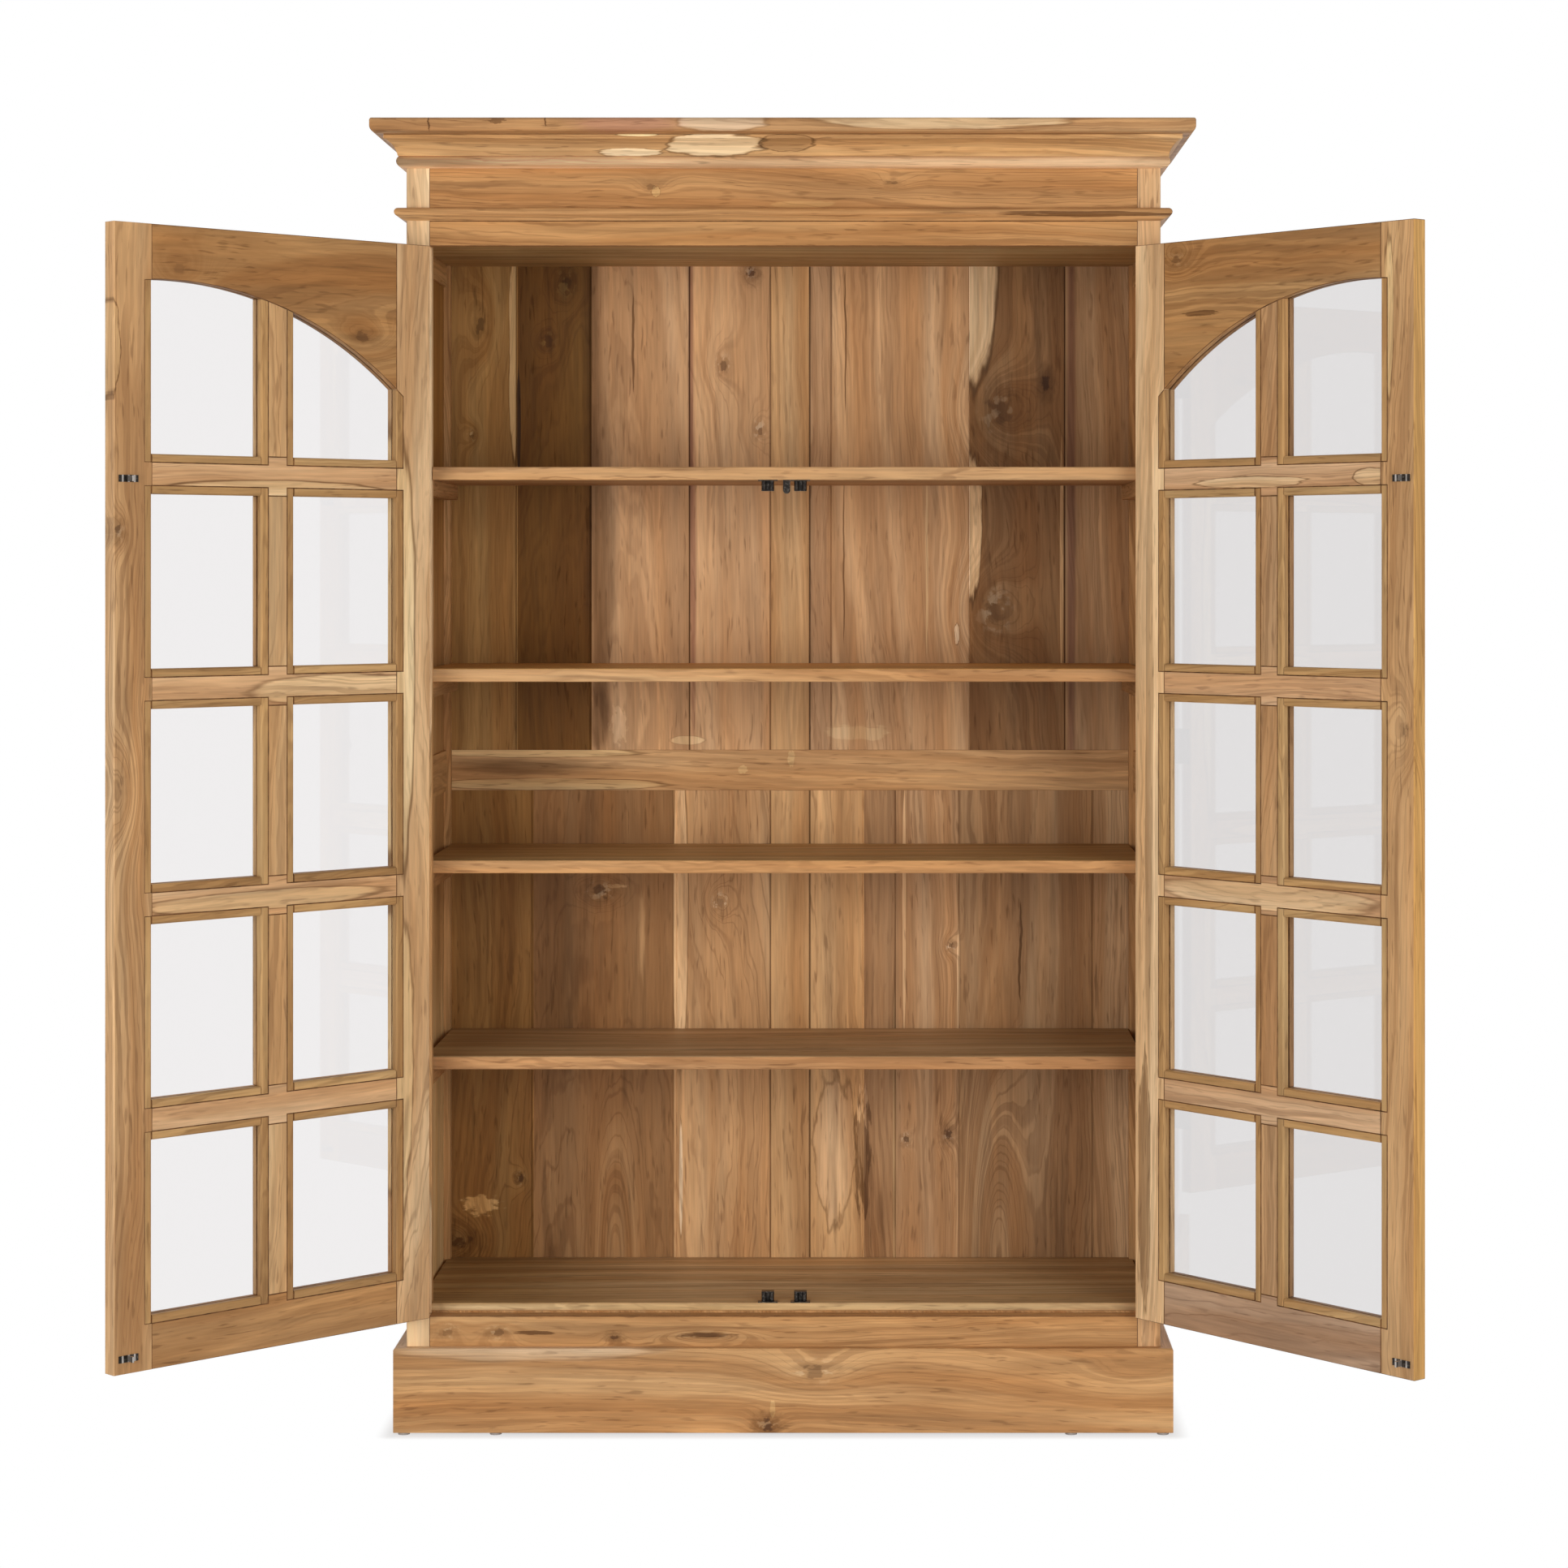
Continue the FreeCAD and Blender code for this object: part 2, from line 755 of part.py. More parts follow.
# Glass rebates, panes and the groove of the arch
full_disc = arch_disc(arch_radius, front_y - overrun, door_back_y + overrun)
rebates = []
panes = []
for x0, x1 in columns:
    edge = glazing_rebate_width
    glass_edge = edge - glass_edge_gap
    for bottom in row_bottoms[:-1]:
        top = bottom + row_height
        rebates.append(block(
            x0 - edge, x1 + edge, rebate_y, door_back_y + overrun, bottom - edge, top + edge
        ))
        panes.append(block(
            x0 - glass_edge, x1 + glass_edge, rebate_y, glass_back_y,
            bottom - glass_edge, top + glass_edge,
        ))
    bottom = row_bottoms[-1]
    tall = block(x0 - edge, x1 + edge, rebate_y, door_back_y + overrun, bottom - edge, door_top)
    rebates.append(tall.common(full_disc))
    groove_disc = arch_disc(arch_radius + arch_groove_depth, rebate_y, glass_back_y)
    rebates.append(tall.common(groove_disc))
    glass_disc = arch_disc(
        arch_radius + arch_groove_depth - arch_glass_gap, rebate_y, glass_back_y
    )
    glass = block(
        x0 - glass_edge, x1 + glass_edge, rebate_y, glass_back_y, bottom - glass_edge, door_top
    )
    panes.append(glass.common(glass_disc))

# Rails, bars and stiles of the door
bottom_tenons = rail_tenons(
    door_bottom + tenon_shoulder, first_row_bottom - tenon_shoulder,
    door_bottom + tenon_shoulder, first_row_bottom - tenon_shoulder,
)
arch_tenons = rail_tenons(
    arch_height(stile_x) + tenon_shoulder, door_top - tenon_shoulder,
    arch_height(meeting_stile_x) + tenon_shoulder, door_top - tenon_shoulder,
)
door_bottom_rail = fuse_all(
    door_block(stile_x, meeting_stile_x, door_bottom, first_row_bottom), bottom_tenons
)
arched_rail_blank = door_block(stile_x, meeting_stile_x, arch_height(stile_x), door_top)

cross_rails = []
cross_tenons = []
for bottom in rail_bottoms:
    top = bottom + glazing_bar_width
    tenons = rail_tenons(
        bottom + tenon_shoulder, top - tenon_shoulder,
        bottom + tenon_shoulder, top - tenon_shoulder,
    )
    cross_tenons += tenons
    cross_rails.append(fuse_all(door_block(stile_x, meeting_stile_x, bottom, top), tenons))

muntins = []
muntin_tenons = []
for bottom in row_bottoms[:-1]:
    top = bottom + row_height
    tenons = (muntin_tenon(bottom - muntin_tenon_length, bottom),
              muntin_tenon(top, top + muntin_tenon_length))
    muntin_tenons += tenons
    bar = door_block(bar_mid_x - bar_half, bar_mid_x + bar_half, bottom, top)
    muntins.append(fuse_all(bar, tenons))
arched_bar_bottom = row_bottoms[-1]
arched_bar_tenons = (
    muntin_tenon(arched_bar_bottom - muntin_tenon_length, arched_bar_bottom),
    muntin_tenon(arch_height(bar_mid_x) - muntin_tenon_length,
                 arch_height(bar_mid_x) + muntin_tenon_length),
)
muntin_tenons += arched_bar_tenons
arched_bar = door_block(
    bar_mid_x - bar_half, bar_mid_x + bar_half, arched_bar_bottom, door_top
).common(full_disc)
muntins.append(fuse_all(arched_bar, arched_bar_tenons))

door_cuts = muntin_tenons + rebates
door_bottom_rail = cut_all(door_bottom_rail, door_cuts)
arched_rail = fuse_all(cut_all(arched_rail_blank, [full_disc] + door_cuts), arch_tenons)
cross_rails = [cut_all(rail, door_cuts) for rail in cross_rails]
muntins = [cut_all(bar, rebates) for bar in muntins]
stile_cuts = rebates + cross_tenons + list(bottom_tenons) + list(arch_tenons)
hinge_stile = cut_all(
    upright(door_edge_x, stile_x, front_y, door_back_y, door_bottom, door_top, eased=(3,)),
    stile_cuts + door_mortises,
)
meeting_stile = cut_all(
    upright(
        meeting_stile_x, door_meeting_x, front_y, door_back_y, door_bottom, door_top, eased=(1, 2)
    ),
    stile_cuts,
)


def glazing_bead(corner, along, inward):
    """One glazing bead: it starts at a rebate's corner, and its inner arris is taken off."""
    depth = Vector(0, door_back_y - glass_back_y, 0)
    width = inward * glazing_rebate_width
    start = Vector(corner.x, glass_back_y, corner.z)
    outline = (
        start,
        start + width,
        start + width + depth - Vector(0, bead_ease, 0),
        start + width - inward * bead_ease + depth,
        start + depth,
    )
    return prism(outline, along)


right, left, down = Vector(1, 0, 0), Vector(-1, 0, 0), Vector(0, 0, -1)
glazing_beads = []
for x0, x1 in columns:
    width = glazing_rebate_width
    for bottom in row_bottoms:
        low = bottom - width
        arched = bottom == row_bottoms[-1]
        high = door_top if arched else bottom + row_height + width
        rise = Vector(0, 0, high - low)
        run = Vector(x1 - x0, 0, 0)
        uprights = [
            glazing_bead(Vector(x0 - width, 0, low), rise, right),
            glazing_bead(Vector(x1 + width, 0, low), rise, left),
        ]
        levels = [glazing_bead(Vector(x0, 0, low), run, upward)]
        if arched:
            uprights = [bead.common(full_disc) for bead in uprights]
        else:
            levels.append(glazing_bead(Vector(x0, 0, high), run, down))
        glazing_beads += uprights + levels

# Catches: the standing form is made on the floor, and the hanging one is its mirror image
roller_offset = roller_slot / 2 + roller_radius


def standing_catch(base_z):
    """A left double roller catch and its two rollers, with its base plate on the given level."""
    top = base_z + catch_height
    half_plate = catch_plate_width / 2
    half_body = catch_body_width / 2
    plate_back_y = stop_y + catch_plate_depth
    plate = block(
        catch_x - half_plate, catch_x + half_plate, stop_y, plate_back_y,
        base_z, base_z + catch_sheet,
    )
    web = block(
        catch_x - half_body, catch_x + half_body, plate_back_y - catch_sheet, plate_back_y,
        base_z, top,
    )
    flange = block(
        catch_x - half_body, catch_x + half_body, stop_y + catch_flange_setback, plate_back_y,
        top - catch_sheet, top,
    )
    centres = (catch_x - roller_offset, catch_x + roller_offset)
    pins = [round_bar(roller_pin_radius, x, roller_y, base_z, top) for x in centres]
    housing = fuse_all(plate, [web, flange] + pins)
    rollers = []
    for x in centres:
        z0 = base_z + catch_sheet + roller_end_gap
        z1 = top - catch_sheet - roller_end_gap
        bore = round_bar(roller_pin_radius + roller_pin_clearance, x, roller_y, z0, z1)
        rollers.append(round_bar(roller_radius, x, roller_y, z0, z1).cut(bore))
    return housing, rollers


def hanging(shape, level):
    """The same piece upside down under a level."""
    return shape.mirror(Vector(0, 0, level), upward)


lower_housing, lower_rollers = standing_catch(floor_top)
shelf_underside = shelf_tops[0] - shelf_thickness
upper_housing, upper_rollers = standing_catch(shelf_underside)
upper_housing = hanging(upper_housing, shelf_underside)
upper_rollers = [hanging(roller, shelf_underside) for roller in upper_rollers]

# Stop lug: a small angle under the top shelf, rounded at its foot
lug_x0 = stop_lug_offset - stop_lug_width / 2
lug_x1 = stop_lug_offset + stop_lug_width / 2
lug_round = stop_lug_width / 2
lug_round_z = shelf_underside - stop_lug_height + lug_round
stop_lug = fuse_all(
    block(lug_x0, lug_x1, stop_y, stop_y + stop_lug_foot,
          shelf_underside - catch_sheet, shelf_underside),
    (
        block(lug_x0, lug_x1, stop_y, stop_y + catch_sheet, lug_round_z, shelf_underside),
        Part.makeCylinder(
            lug_round, catch_sheet, Vector(stop_lug_offset, stop_y, lug_round_z), Vector(0, 1, 0)
        ),
    ),
)

# Strikes on the door, level with the rollers
tongue_tip_y = roller_y + strike_tip_reach


def strike(level):
    """A plate on the inner face of the door with a barbed tongue that enters between the rollers."""
    half_width = strike_plate_width / 2
    half_height = strike_plate_height / 2
    plate_back_y = door_back_y + strike_sheet
    plate = block(
        catch_x - half_width, catch_x + half_width, door_back_y, plate_back_y,
        level - half_height, level + half_height,
    )
    half_outline = (
        (strike_neck_half, door_back_y),
        (strike_neck_half, roller_y - strike_neck_back),
        (strike_head_half, roller_y + strike_head_lead),
        (strike_tip_half, tongue_tip_y),
    )
    outline = [(catch_x + out, y) for out, y in half_outline]
    outline += [(catch_x - out, y) for out, y in reversed(half_outline)]
    foot = level - strike_tongue_height / 2
    tongue = prism([Vector(x, y, foot) for x, y in outline], Vector(0, 0, strike_tongue_height))
    return fuse_all(plate, (tongue,))


strikes = [
    strike(floor_top + catch_height / 2),
    strike(shelf_underside - catch_height / 2),
]

# Knob: a turned shape on the outer face of the meeting stile
knob_x = (meeting_stile_x + door_meeting_x) / 2
knob_z = door_bottom + knob_height_share * (door_top - door_bottom)


def knob_point(out, radius):
    """A point of the turned outline, by its distance from the door and its radius."""
    return Vector(knob_x + radius, front_y - out, knob_z)


knob_outline = (
    (0, 0),
    (0, knob_rose_radius),
    (knob_rose_thickness, knob_rose_radius),
    (knob_rose_thickness, knob_stem_radius),
    (knob_reach - knob_cap_thickness, knob_stem_radius),
    (knob_reach - knob_cap_thickness, knob_radius),
    (knob_reach, knob_radius),
    (knob_reach, 0),
    (0, 0),
)
knob_section = Part.makePolygon([knob_point(out, radius) for out, radius in knob_outline])
knob = Part.Face(knob_section).revolve(
    Vector(knob_x, front_y, knob_z), Vector(0, 1, 0), full_turn
)


def save_pair(name, *left_solids):
    """Write a piece of the case for the left side and its mirror image for the right."""
    save(name + "_left", *left_solids)
    save(name + "_right", *[mirrored(solid) for solid in left_solids])


def save_door_pair(name, *closed_solids):
    """Write a piece of both doors, each turned open about its hinge axis."""
    for side, x, turn in (
        ("left", hinge_x, -left_door_angle),
        ("right", -hinge_x, right_door_angle),
    ):
        turned = []
        for solid in closed_solids:
            piece = solid.copy() if side == "left" else mirrored(solid)
            piece.rotate(Vector(x, hinge_y, 0), upward, turn)
            turned.append(piece)
        save(side + "_door_" + name, *turned)


save_pair("front_post", front_post)
save_pair("rear_post", rear_post)
save_pair("side_rails", *side_rails)
save("side_panels", *side_panels, *[mirrored(panel) for panel in side_panels])
save("back_frame", *back_rails, *back_muntins)
save("back_boards_lower", *back_tiers[0])
save("back_boards_upper", *back_tiers[1])
save("bottom_rail", front_rails[0])
save("top_rail", front_rails[1])
save("frieze_board", frieze_board)
save("frieze_bead", *frieze_bead)
save("cornice_bead", *cornice_bead)
save("cornice_cove", *cornice_cove)
save("top_board", top_board)
save("ceiling_board", ceiling_board)
save("floor_board", floor_board)
for number, shelf in enumerate(shelves, start=1):
    save("shelf_" + str(number), shelf)
save("shelf_cleats", *cleats)
save("plinth", *plinth)
save("glides", *glides)
save("hinge_frame_leaves", *frame_leaves, *[mirrored(leaf) for leaf in frame_leaves])
save(
    "catch_housings",
    lower_housing, mirrored(lower_housing), upper_housing, mirrored(upper_housing),
)
save("stop_lug", stop_lug)
for level, rollers in (("lower", lower_rollers), ("upper", upper_rollers)):
    for place, roller in zip(("outer", "inner"), rollers):
        save_pair("roller_" + level + "_" + place, roller)

save_door_pair("hinge_stile", hinge_stile)
save_door_pair("meeting_stile", meeting_stile)
save_door_pair("arched_rail", arched_rail)
save_door_pair("bottom_rail", door_bottom_rail)
save_door_pair("cross_rails", *cross_rails)
save_door_pair("muntins", *muntins)
save_door_pair("panes", *panes)
save_door_pair("glazing_beads", *glazing_beads)
save_door_pair("hinge_leaves", *door_leaves)
save_door_pair("strikes", *strikes)
save_door_pair("knob", knob)
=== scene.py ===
from functools import reduce
import json
import math

import bpy
from mathutils import Matrix, Vector


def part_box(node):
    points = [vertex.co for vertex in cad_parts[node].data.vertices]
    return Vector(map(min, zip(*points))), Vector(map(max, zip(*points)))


# A teak display cabinet with two glazed doors, dressed and lit as a studio picture.
# Lengths are in metres, and X runs to the right, Y to the back and Z up, as in the frame.

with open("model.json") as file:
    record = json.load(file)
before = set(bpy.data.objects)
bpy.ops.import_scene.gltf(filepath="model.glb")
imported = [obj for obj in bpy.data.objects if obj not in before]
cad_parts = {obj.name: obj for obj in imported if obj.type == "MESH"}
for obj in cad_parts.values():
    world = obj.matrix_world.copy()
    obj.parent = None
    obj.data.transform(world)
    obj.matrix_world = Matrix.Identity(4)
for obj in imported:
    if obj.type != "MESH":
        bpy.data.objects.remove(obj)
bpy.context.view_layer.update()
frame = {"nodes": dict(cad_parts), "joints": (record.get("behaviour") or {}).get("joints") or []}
nodes = frame["nodes"]

# The photograph's camera. The first three values are in pixels
photo_side = 1932
ahead_px = (1085.0, 703.0)
focal_px = 4350.0
sensor_width = 36.0
camera_place = Vector((0.148, -5.784, 1.315))

# Studio
key_aim = Vector((0.0, -0.3, 1.0))
key_size = 2.7
key_power = 118.0
key_spread = math.radians(28)
key_distance = 5.5
key_height = 1.5
rear_place = Vector((0.6, 5.4, 2.8))
rear_size = 3.2
rear_power = 150.0
room_strength = 0.2
floor_half = 14.0
footprint_half = (0.593, 0.218)
footprint_y = -0.2
contact_share = 0.35
contact_width = 0.03

# Sizes of the cabinet that the grain and the marks follow
front_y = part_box("bottom_rail")[0].y
plinth_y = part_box("plinth")[0].y
top_front_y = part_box("top_board")[0].y
edge_reach = 0.014
door_thickness = 0.024
door_inner_y = front_y + door_thickness
back_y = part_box("back_boards_upper")[0].y
side_x = 0.575
stile_width = 0.062
bar_width = 0.057
row_pitch = 0.306
first_row_bottom = 0.257
free_edge_x = 0.0028
back_half = 0.553
muntin_half = 0.031
mid_rail_span = (0.956, 1.022)
back_bottom_rail_top = 0.186
back_top_rail_bottom = 1.812
catch_x = 0.025
panel_pale_z = 0.33
panel_shade_z = 1.66
floor_shade_x = -0.52
top_end_start = 0.2

# Fine sizes of edges, screws, seams, sapwood, pores and grit
arris = 0.0009
screw_spacing = 0.0098
screw_radius = 0.0011
screw_rim = 0.0018
seam_half = 0.0014
sap_sway = 0.02
sap_edge = 0.0012
sap_rim = 0.0022
pore_depth = 0.0004
grit_depth = 0.0001

# Where the back's boards meet, as shares of its half width, and how dark each seam is
upper_seam_shares = (-0.81, -0.591, -0.297, 0.0, 0.121, 0.53, 0.812)
lower_seam_shares = (-0.763, -0.345, 0.0, 0.215, 0.311, 0.499, 0.893)
upper_seam_darkness = (0.5, 0.25, 1.0, 0.0, 0.3, 0.3, 0.9)
lower_seam_darkness = (0.3, 0.3, 0.0, 0.0, 0.4, 0.4, 0.3)
muntin_seam_darkness = (0.7, 1.0)

# Shifts to another part of the log, or of a mark's noise
side_run_shift = (0.3, 2.0)
board_shift = (0.4, 0.1, 9.0)
row_shift = (0.043, 0.017, 1.9)
seed_shift = 1.7
log_tilt = (0.02, 0.01, 0.0)
noise_step = 9

# Tones, each a multiple of the wood's own colour
plain_tone = (1.0, 1.0, 1.0)
# Painted shade towards the ends of the boards' top faces
top_end_shade_tone = (0.78, 0.76, 0.7)
seam_tone = (0.3, 0.26, 0.22)
# Painted light on the doors' free edge faces
lit_free_edge_tones = {"left": (1.37, 1.46, 1.59), "right": (1.03, 0.96, 0.66)}


def linear(value):
    """One sRGB channel, from 0 to 255, as a linear value."""
    value = value / 255
    if value <= 0.04045:
        return value / 12.92
    return ((value + 0.055) / 1.055) ** 2.4


def paint(red, green, blue):
    """A colour given as it should look on the screen."""
    return (linear(red), linear(green), linear(blue), 1.0)


white = (1.0, 1.0, 1.0, 1.0)
wood_mean = paint(186, 138, 92)


def tint(red, green, blue):
    """What the wood's mean colour is multiplied by to look like the one given."""
    return tuple(a / b for a, b in zip(paint(red, green, blue)[:3], wood_mean))


# Colours of the wood inside a log
wood_light = paint(206, 160, 108)
wood_mid = paint(182, 134, 85)
wood_smoky = paint(158, 115, 72)
wood_late = paint(128, 86, 50)
wood_streak = paint(104, 70, 42)
wood_pore = paint(112, 76, 46)
wood_knot = paint(84, 54, 32)
# Dark joint lines, also painted shade along square arrises
wood_seam_and_shade = paint(88, 58, 34)
sap_tint = tint(226, 191, 151)
pale_tint = tint(206, 163, 112)
rim_tint = tint(118, 80, 46)
dark_tint = tint(112, 74, 42)
shadow_tint = tint(124, 86, 52)
# Painted shadow along the back's seams
seam_shadow_tint = tint(136, 90, 62)


def door_turn(side):
    """A door's hinge, and the angle that turns a place on the open door to the closed one."""
    joint = next(j for j in frame["joints"] if j["name"] == side + "_door_swing")
    return Vector(joint["pos_m"]), math.radians(joint["range_deg"][0] * joint["axis"][2])


def sight(pixel):
    """The direction in which the photograph's camera sees a pixel."""
    return Vector(((pixel[0] - ahead_px[0]) / focal_px, 1.0, (ahead_px[1] - pixel[1]) / focal_px))


def seen(pixel, plane_y=front_y):
    """The (x, z) place on an upright plane across the case that the camera sees at a pixel."""
    place = camera_place + sight(pixel) * (plane_y - camera_place.y)
    return place.x, place.z


def seen_on_door(pixel, side):
    """The (x, z) place on a door's inner face that the camera sees at a pixel, door closed."""
    hinge, angle = door_turn(side)
    turn = Matrix.Rotation(angle, 3, "Z")
    start = turn @ (camera_place - hinge) + hinge
    ahead = turn @ sight(pixel)
    place = start + ahead * ((door_inner_y - start.y) / ahead.y)
    return place.x, place.z


class Graph:
    """Adds nodes to one shader tree. Its calls take numbers or sockets."""

    def __init__(self, tree):
        self.tree = tree

    def add(self, kind, inputs=None, **settings):
        """A new shader node. kind is its type, without ShaderNode."""
        node = self.tree.nodes.new("ShaderNode" + kind)
        for name, value in settings.items():
            setattr(node, name, value)
        for key, value in (inputs or {}).items():
            self.feed(node.inputs[key], value)
        return node

    def feed(self, socket, value):
        if isinstance(value, bpy.types.NodeSocket):
            self.tree.links.new(value, socket)
        else:
            socket.default_value = value

    def math(self, operation, a, b=0.0, c=0.0):
        return self.add("Math", {0: a, 1: b, 2: c}, operation=operation).outputs[0]

    def times(self, a, b):
        return self.math("MULTIPLY", a, b)

    def distance(self, a, b):
        """How far apart two values are."""
        return self.math("ABSOLUTE", self.math("SUBTRACT", a, b))

    def shifted(self, value, noise, reach):
        """A value moved by a noise, by up to half the reach either way."""
        return self.math("MULTIPLY_ADD", self.math("SUBTRACT", noise, 0.5), reach, value)

    def vector(self, operation, a, b=(0.0, 0.0, 0.0)):
        node = self.add("VectorMath", {0: a, 1: b}, operation=operation)
        return node.outputs["Value" if operation == "LENGTH" else "Vector"]

    def scaled(self, vector, by):
        """A vector or colour, each of its parts multiplied by that of another."""
        return self.vector("MULTIPLY", vector, by)

    def from_axis(self, vector):
        """How far a place lies from the Z axis."""
        return self.vector("LENGTH", self.scaled(vector, (1.0, 1.0, 0.0)))

    def apart(self, vector):
        return self.add("SeparateXYZ", {0: vector}).outputs[:3]

    def together(self, x, y, z):
        return self.add("CombineXYZ", {0: x, 1: y, 2: z}).outputs[0]

    def smooth(self, value, low, high):
        """0 at low and 1 at high, with a soft start and end."""
        inputs = {"Value": value, "From Min": low, "From Max": high}
        return self.add("MapRange", inputs, interpolation_type="SMOOTHSTEP").outputs[0]

    def blend(self, share, a, b):
        """Colour a where the share is 0 and b where it is 1."""
        return self.add("Mix", {0: share, 6: a, 7: b}, data_type="RGBA").outputs[2]

    def choose(self, share, a, b):
        """Vector a where the share is 0 and b where it is 1."""
        return self.add("Mix", {0: share, 4: a, 5: b}, data_type="VECTOR").outputs[1]

    def toned(self, colour, tone, share):
        """A colour multiplied by a tone where the share is 1."""
        return self.scaled(colour, self.choose(share, plain_tone, tone))

    def noise(self, vector, scale=1.0, detail=1.0):
        """The value and the colour of a noise in space."""
        inputs = {"Vector": vector, "Scale": scale, "Detail": detail}
        return self.add("TexNoise", inputs).outputs[:2]

    def line_noise(self, value, scale, detail):
        """A noise that changes along one value only."""
        inputs = {"W": value, "Scale": scale, "Detail": detail}
        return self.add("TexNoise", inputs, noise_dimensions="1D").outputs[0]

    def steps(self, value, starts, colours):
        """A colour for each stretch of a value. The first stretch starts at 0."""
        node = self.add("ValToRGB", {0: value})
        ramp = node.color_ramp
        ramp.interpolation = "CONSTANT"
        ramp.elements[0].color = (*colours[0][:3], 1.0)
        for start, colour in zip(starts, colours[1:]):
            ramp.elements.new(start).color = (*colour[:3], 1.0)
        ramp.elements.remove(ramp.elements[-1])
        return node.outputs[0]

    def between(self, value, low, high):
        """1 where a value lies between two others, and 0 elsewhere."""
        return self.times(self.math("GREATER_THAN", value, low), self.math("LESS_THAN", value, high))

    def inverse(self, value):
        return self.math("SUBTRACT", 1.0, value)

    def place(self):
        return self.add("TexCoord").outputs["Object"]

    def finish(self, kind, inputs):
        """The material's last shader, joined to its output."""
        self.add("OutputMaterial", {0: self.add(kind, inputs).outputs[0]})


def new_material(name):
    material = bpy.data.materials.new(name)
    material.use_nodes = True
    material.node_tree.nodes.clear()
    return material, Graph(material.node_tree)


def teak_group():
    """The inside of a teak log. Its pith is the Z axis of the Grain input."""
    tree = bpy.data.node_groups.new("teak_log", "ShaderNodeTree")
    defaults = {"Bulge": 0.0, "Rings": 190.0, "Figure": 0.42, "Streaks": 0.4, "Heart": 9.0, "Sap": 0.9}

    def socket(name, way, kind):
        return tree.interface.new_socket(name, in_out=way, socket_type="NodeSocket" + kind)

    socket("Grain", "INPUT", "Vector")
    for name, value in defaults.items():
        socket(name, "INPUT", "Float").default_value = value
    for name, kind in (("Color", "Color"), ("Height", "Float"), ("Ragged", "Float")):
        socket(name, "OUTPUT", kind)
    g = Graph(tree)
    given = tree.nodes.new("NodeGroupInput").outputs
    grain = given["Grain"]

    # The rings wander slowly along the log and shiver along the grain
    sway = g.noise(g.scaled(grain, (2.6, 2.6, 1.0)), detail=1.0)[1]
    ripple_value, ripple = g.noise(g.scaled(grain, (30.0, 30.0, 7.0)), detail=3.0)
    middle = (0.5, 0.5, 0.5)
    sway = g.scaled(g.vector("SUBTRACT", sway, middle), (0.1, 0.1, 0.0))
    shiver = g.scaled(g.vector("SUBTRACT", ripple, middle), (0.012, 0.012, 0.0))
    bent = g.vector("ADD", g.vector("ADD", grain, sway), shiver)
    radius = g.math("ADD", g.from_axis(bent), given["Bulge"])
    rings = g.times(radius, given["Rings"])
    runs = g.line_noise(rings, 0.17, 2.0)
    years = g.line_noise(rings, 0.75, 1.0)

    fibre = g.noise(g.scaled(grain, (300.0, 300.0, 11.0)), detail=2.0)[0]
    thread = g.noise(g.scaled(bent, (110.0, 110.0, 3.5)), detail=3.0)[0]
    drift, drift_colour = g.noise(g.scaled(grain, (9.0, 9.0, 2.6)), detail=3.0)
    fleck = g.noise(g.scaled(bent, (210.0, 210.0, 22.0)), detail=1.0)[0]
    streak = g.noise(g.scaled(bent, (48.0, 48.0, 1.8)), detail=4.0)[0]

    colour = g.blend(g.smooth(runs, 0.34, 0.64), wood_light, wood_mid)
    smoke = g.times(g.smooth(drift, 0.42, 0.72), 0.75)
    colour = g.blend(smoke, colour, wood_smoky)
    fading = g.smooth(g.apart(drift_colour)[1], 0.3, 0.6)
    late = g.inverse(g.smooth(g.distance(years, 0.5), 0.012, 0.075))
    late = g.times(late, g.times(given["Figure"], fading))
    colour = g.blend(late, colour, wood_late)
    dark = g.times(g.smooth(streak, 0.6, 0.74), given["Streaks"])
    colour = g.blend(dark, colour, wood_streak)

    # Sapwood outside the heart, with a thin dark rim between them
    beyond = g.shifted(g.math("SUBTRACT", radius, given["Heart"]), ripple_value, sap_sway)
    sap = g.times(g.smooth(beyond, -sap_edge, sap_edge), given["Sap"])
    colour = g.toned(colour, sap_tint, sap)
    rim = g.inverse(g.smooth(g.math("ABSOLUTE", beyond), 0.0, sap_rim))
    rim = g.times(g.times(rim, given["Sap"]), g.smooth(thread, 0.35, 0.6))
    colour = g.toned(colour, rim_tint, rim)

    strokes = g.times(g.smooth(fleck, 0.6, 0.74), g.smooth(drift, 0.3, 0.6))
    colour = g.blend(g.times(strokes, 0.5), colour, wood_pore)
    shade = g.shifted(1.0, fibre, 0.5)
    shade = g.shifted(shade, thread, 0.5)
    shade = g.shifted(shade, drift, 0.45)
    warm = g.noise(g.scaled(grain, (26.0, 26.0, 1.1)), detail=2.0)[0]
    warm = g.math("SUBTRACT", warm, 0.5)
    hue = g.together(g.math("MULTIPLY_ADD", warm, 0.25, 1.0), 1.0, g.math("MULTIPLY_ADD", warm, -0.35, 1.0))
    colour = g.scaled(g.scaled(colour, g.together(shade, shade, shade)), hue)
    out = tree.nodes.new("NodeGroupOutput").inputs
    g.feed(out["Color"], colour)
    g.feed(out["Height"], g.math("SUBTRACT", fibre, strokes))
    g.feed(out["Ragged"], g.math("SUBTRACT", ripple_value, 0.5))
    return tree


teak = teak_group()


def local(g, spot, at, half):
    """A face's place in a feature's own measure: its centre at 0 and its ends at 1."""
    a = g.math("MULTIPLY_ADD", spot[0], 1 / half[0], -at[0] / half[0])
    b = g.math("MULTIPLY_ADD", spot[1], 1 / half[1], -at[1] / half[1])
    return a, b


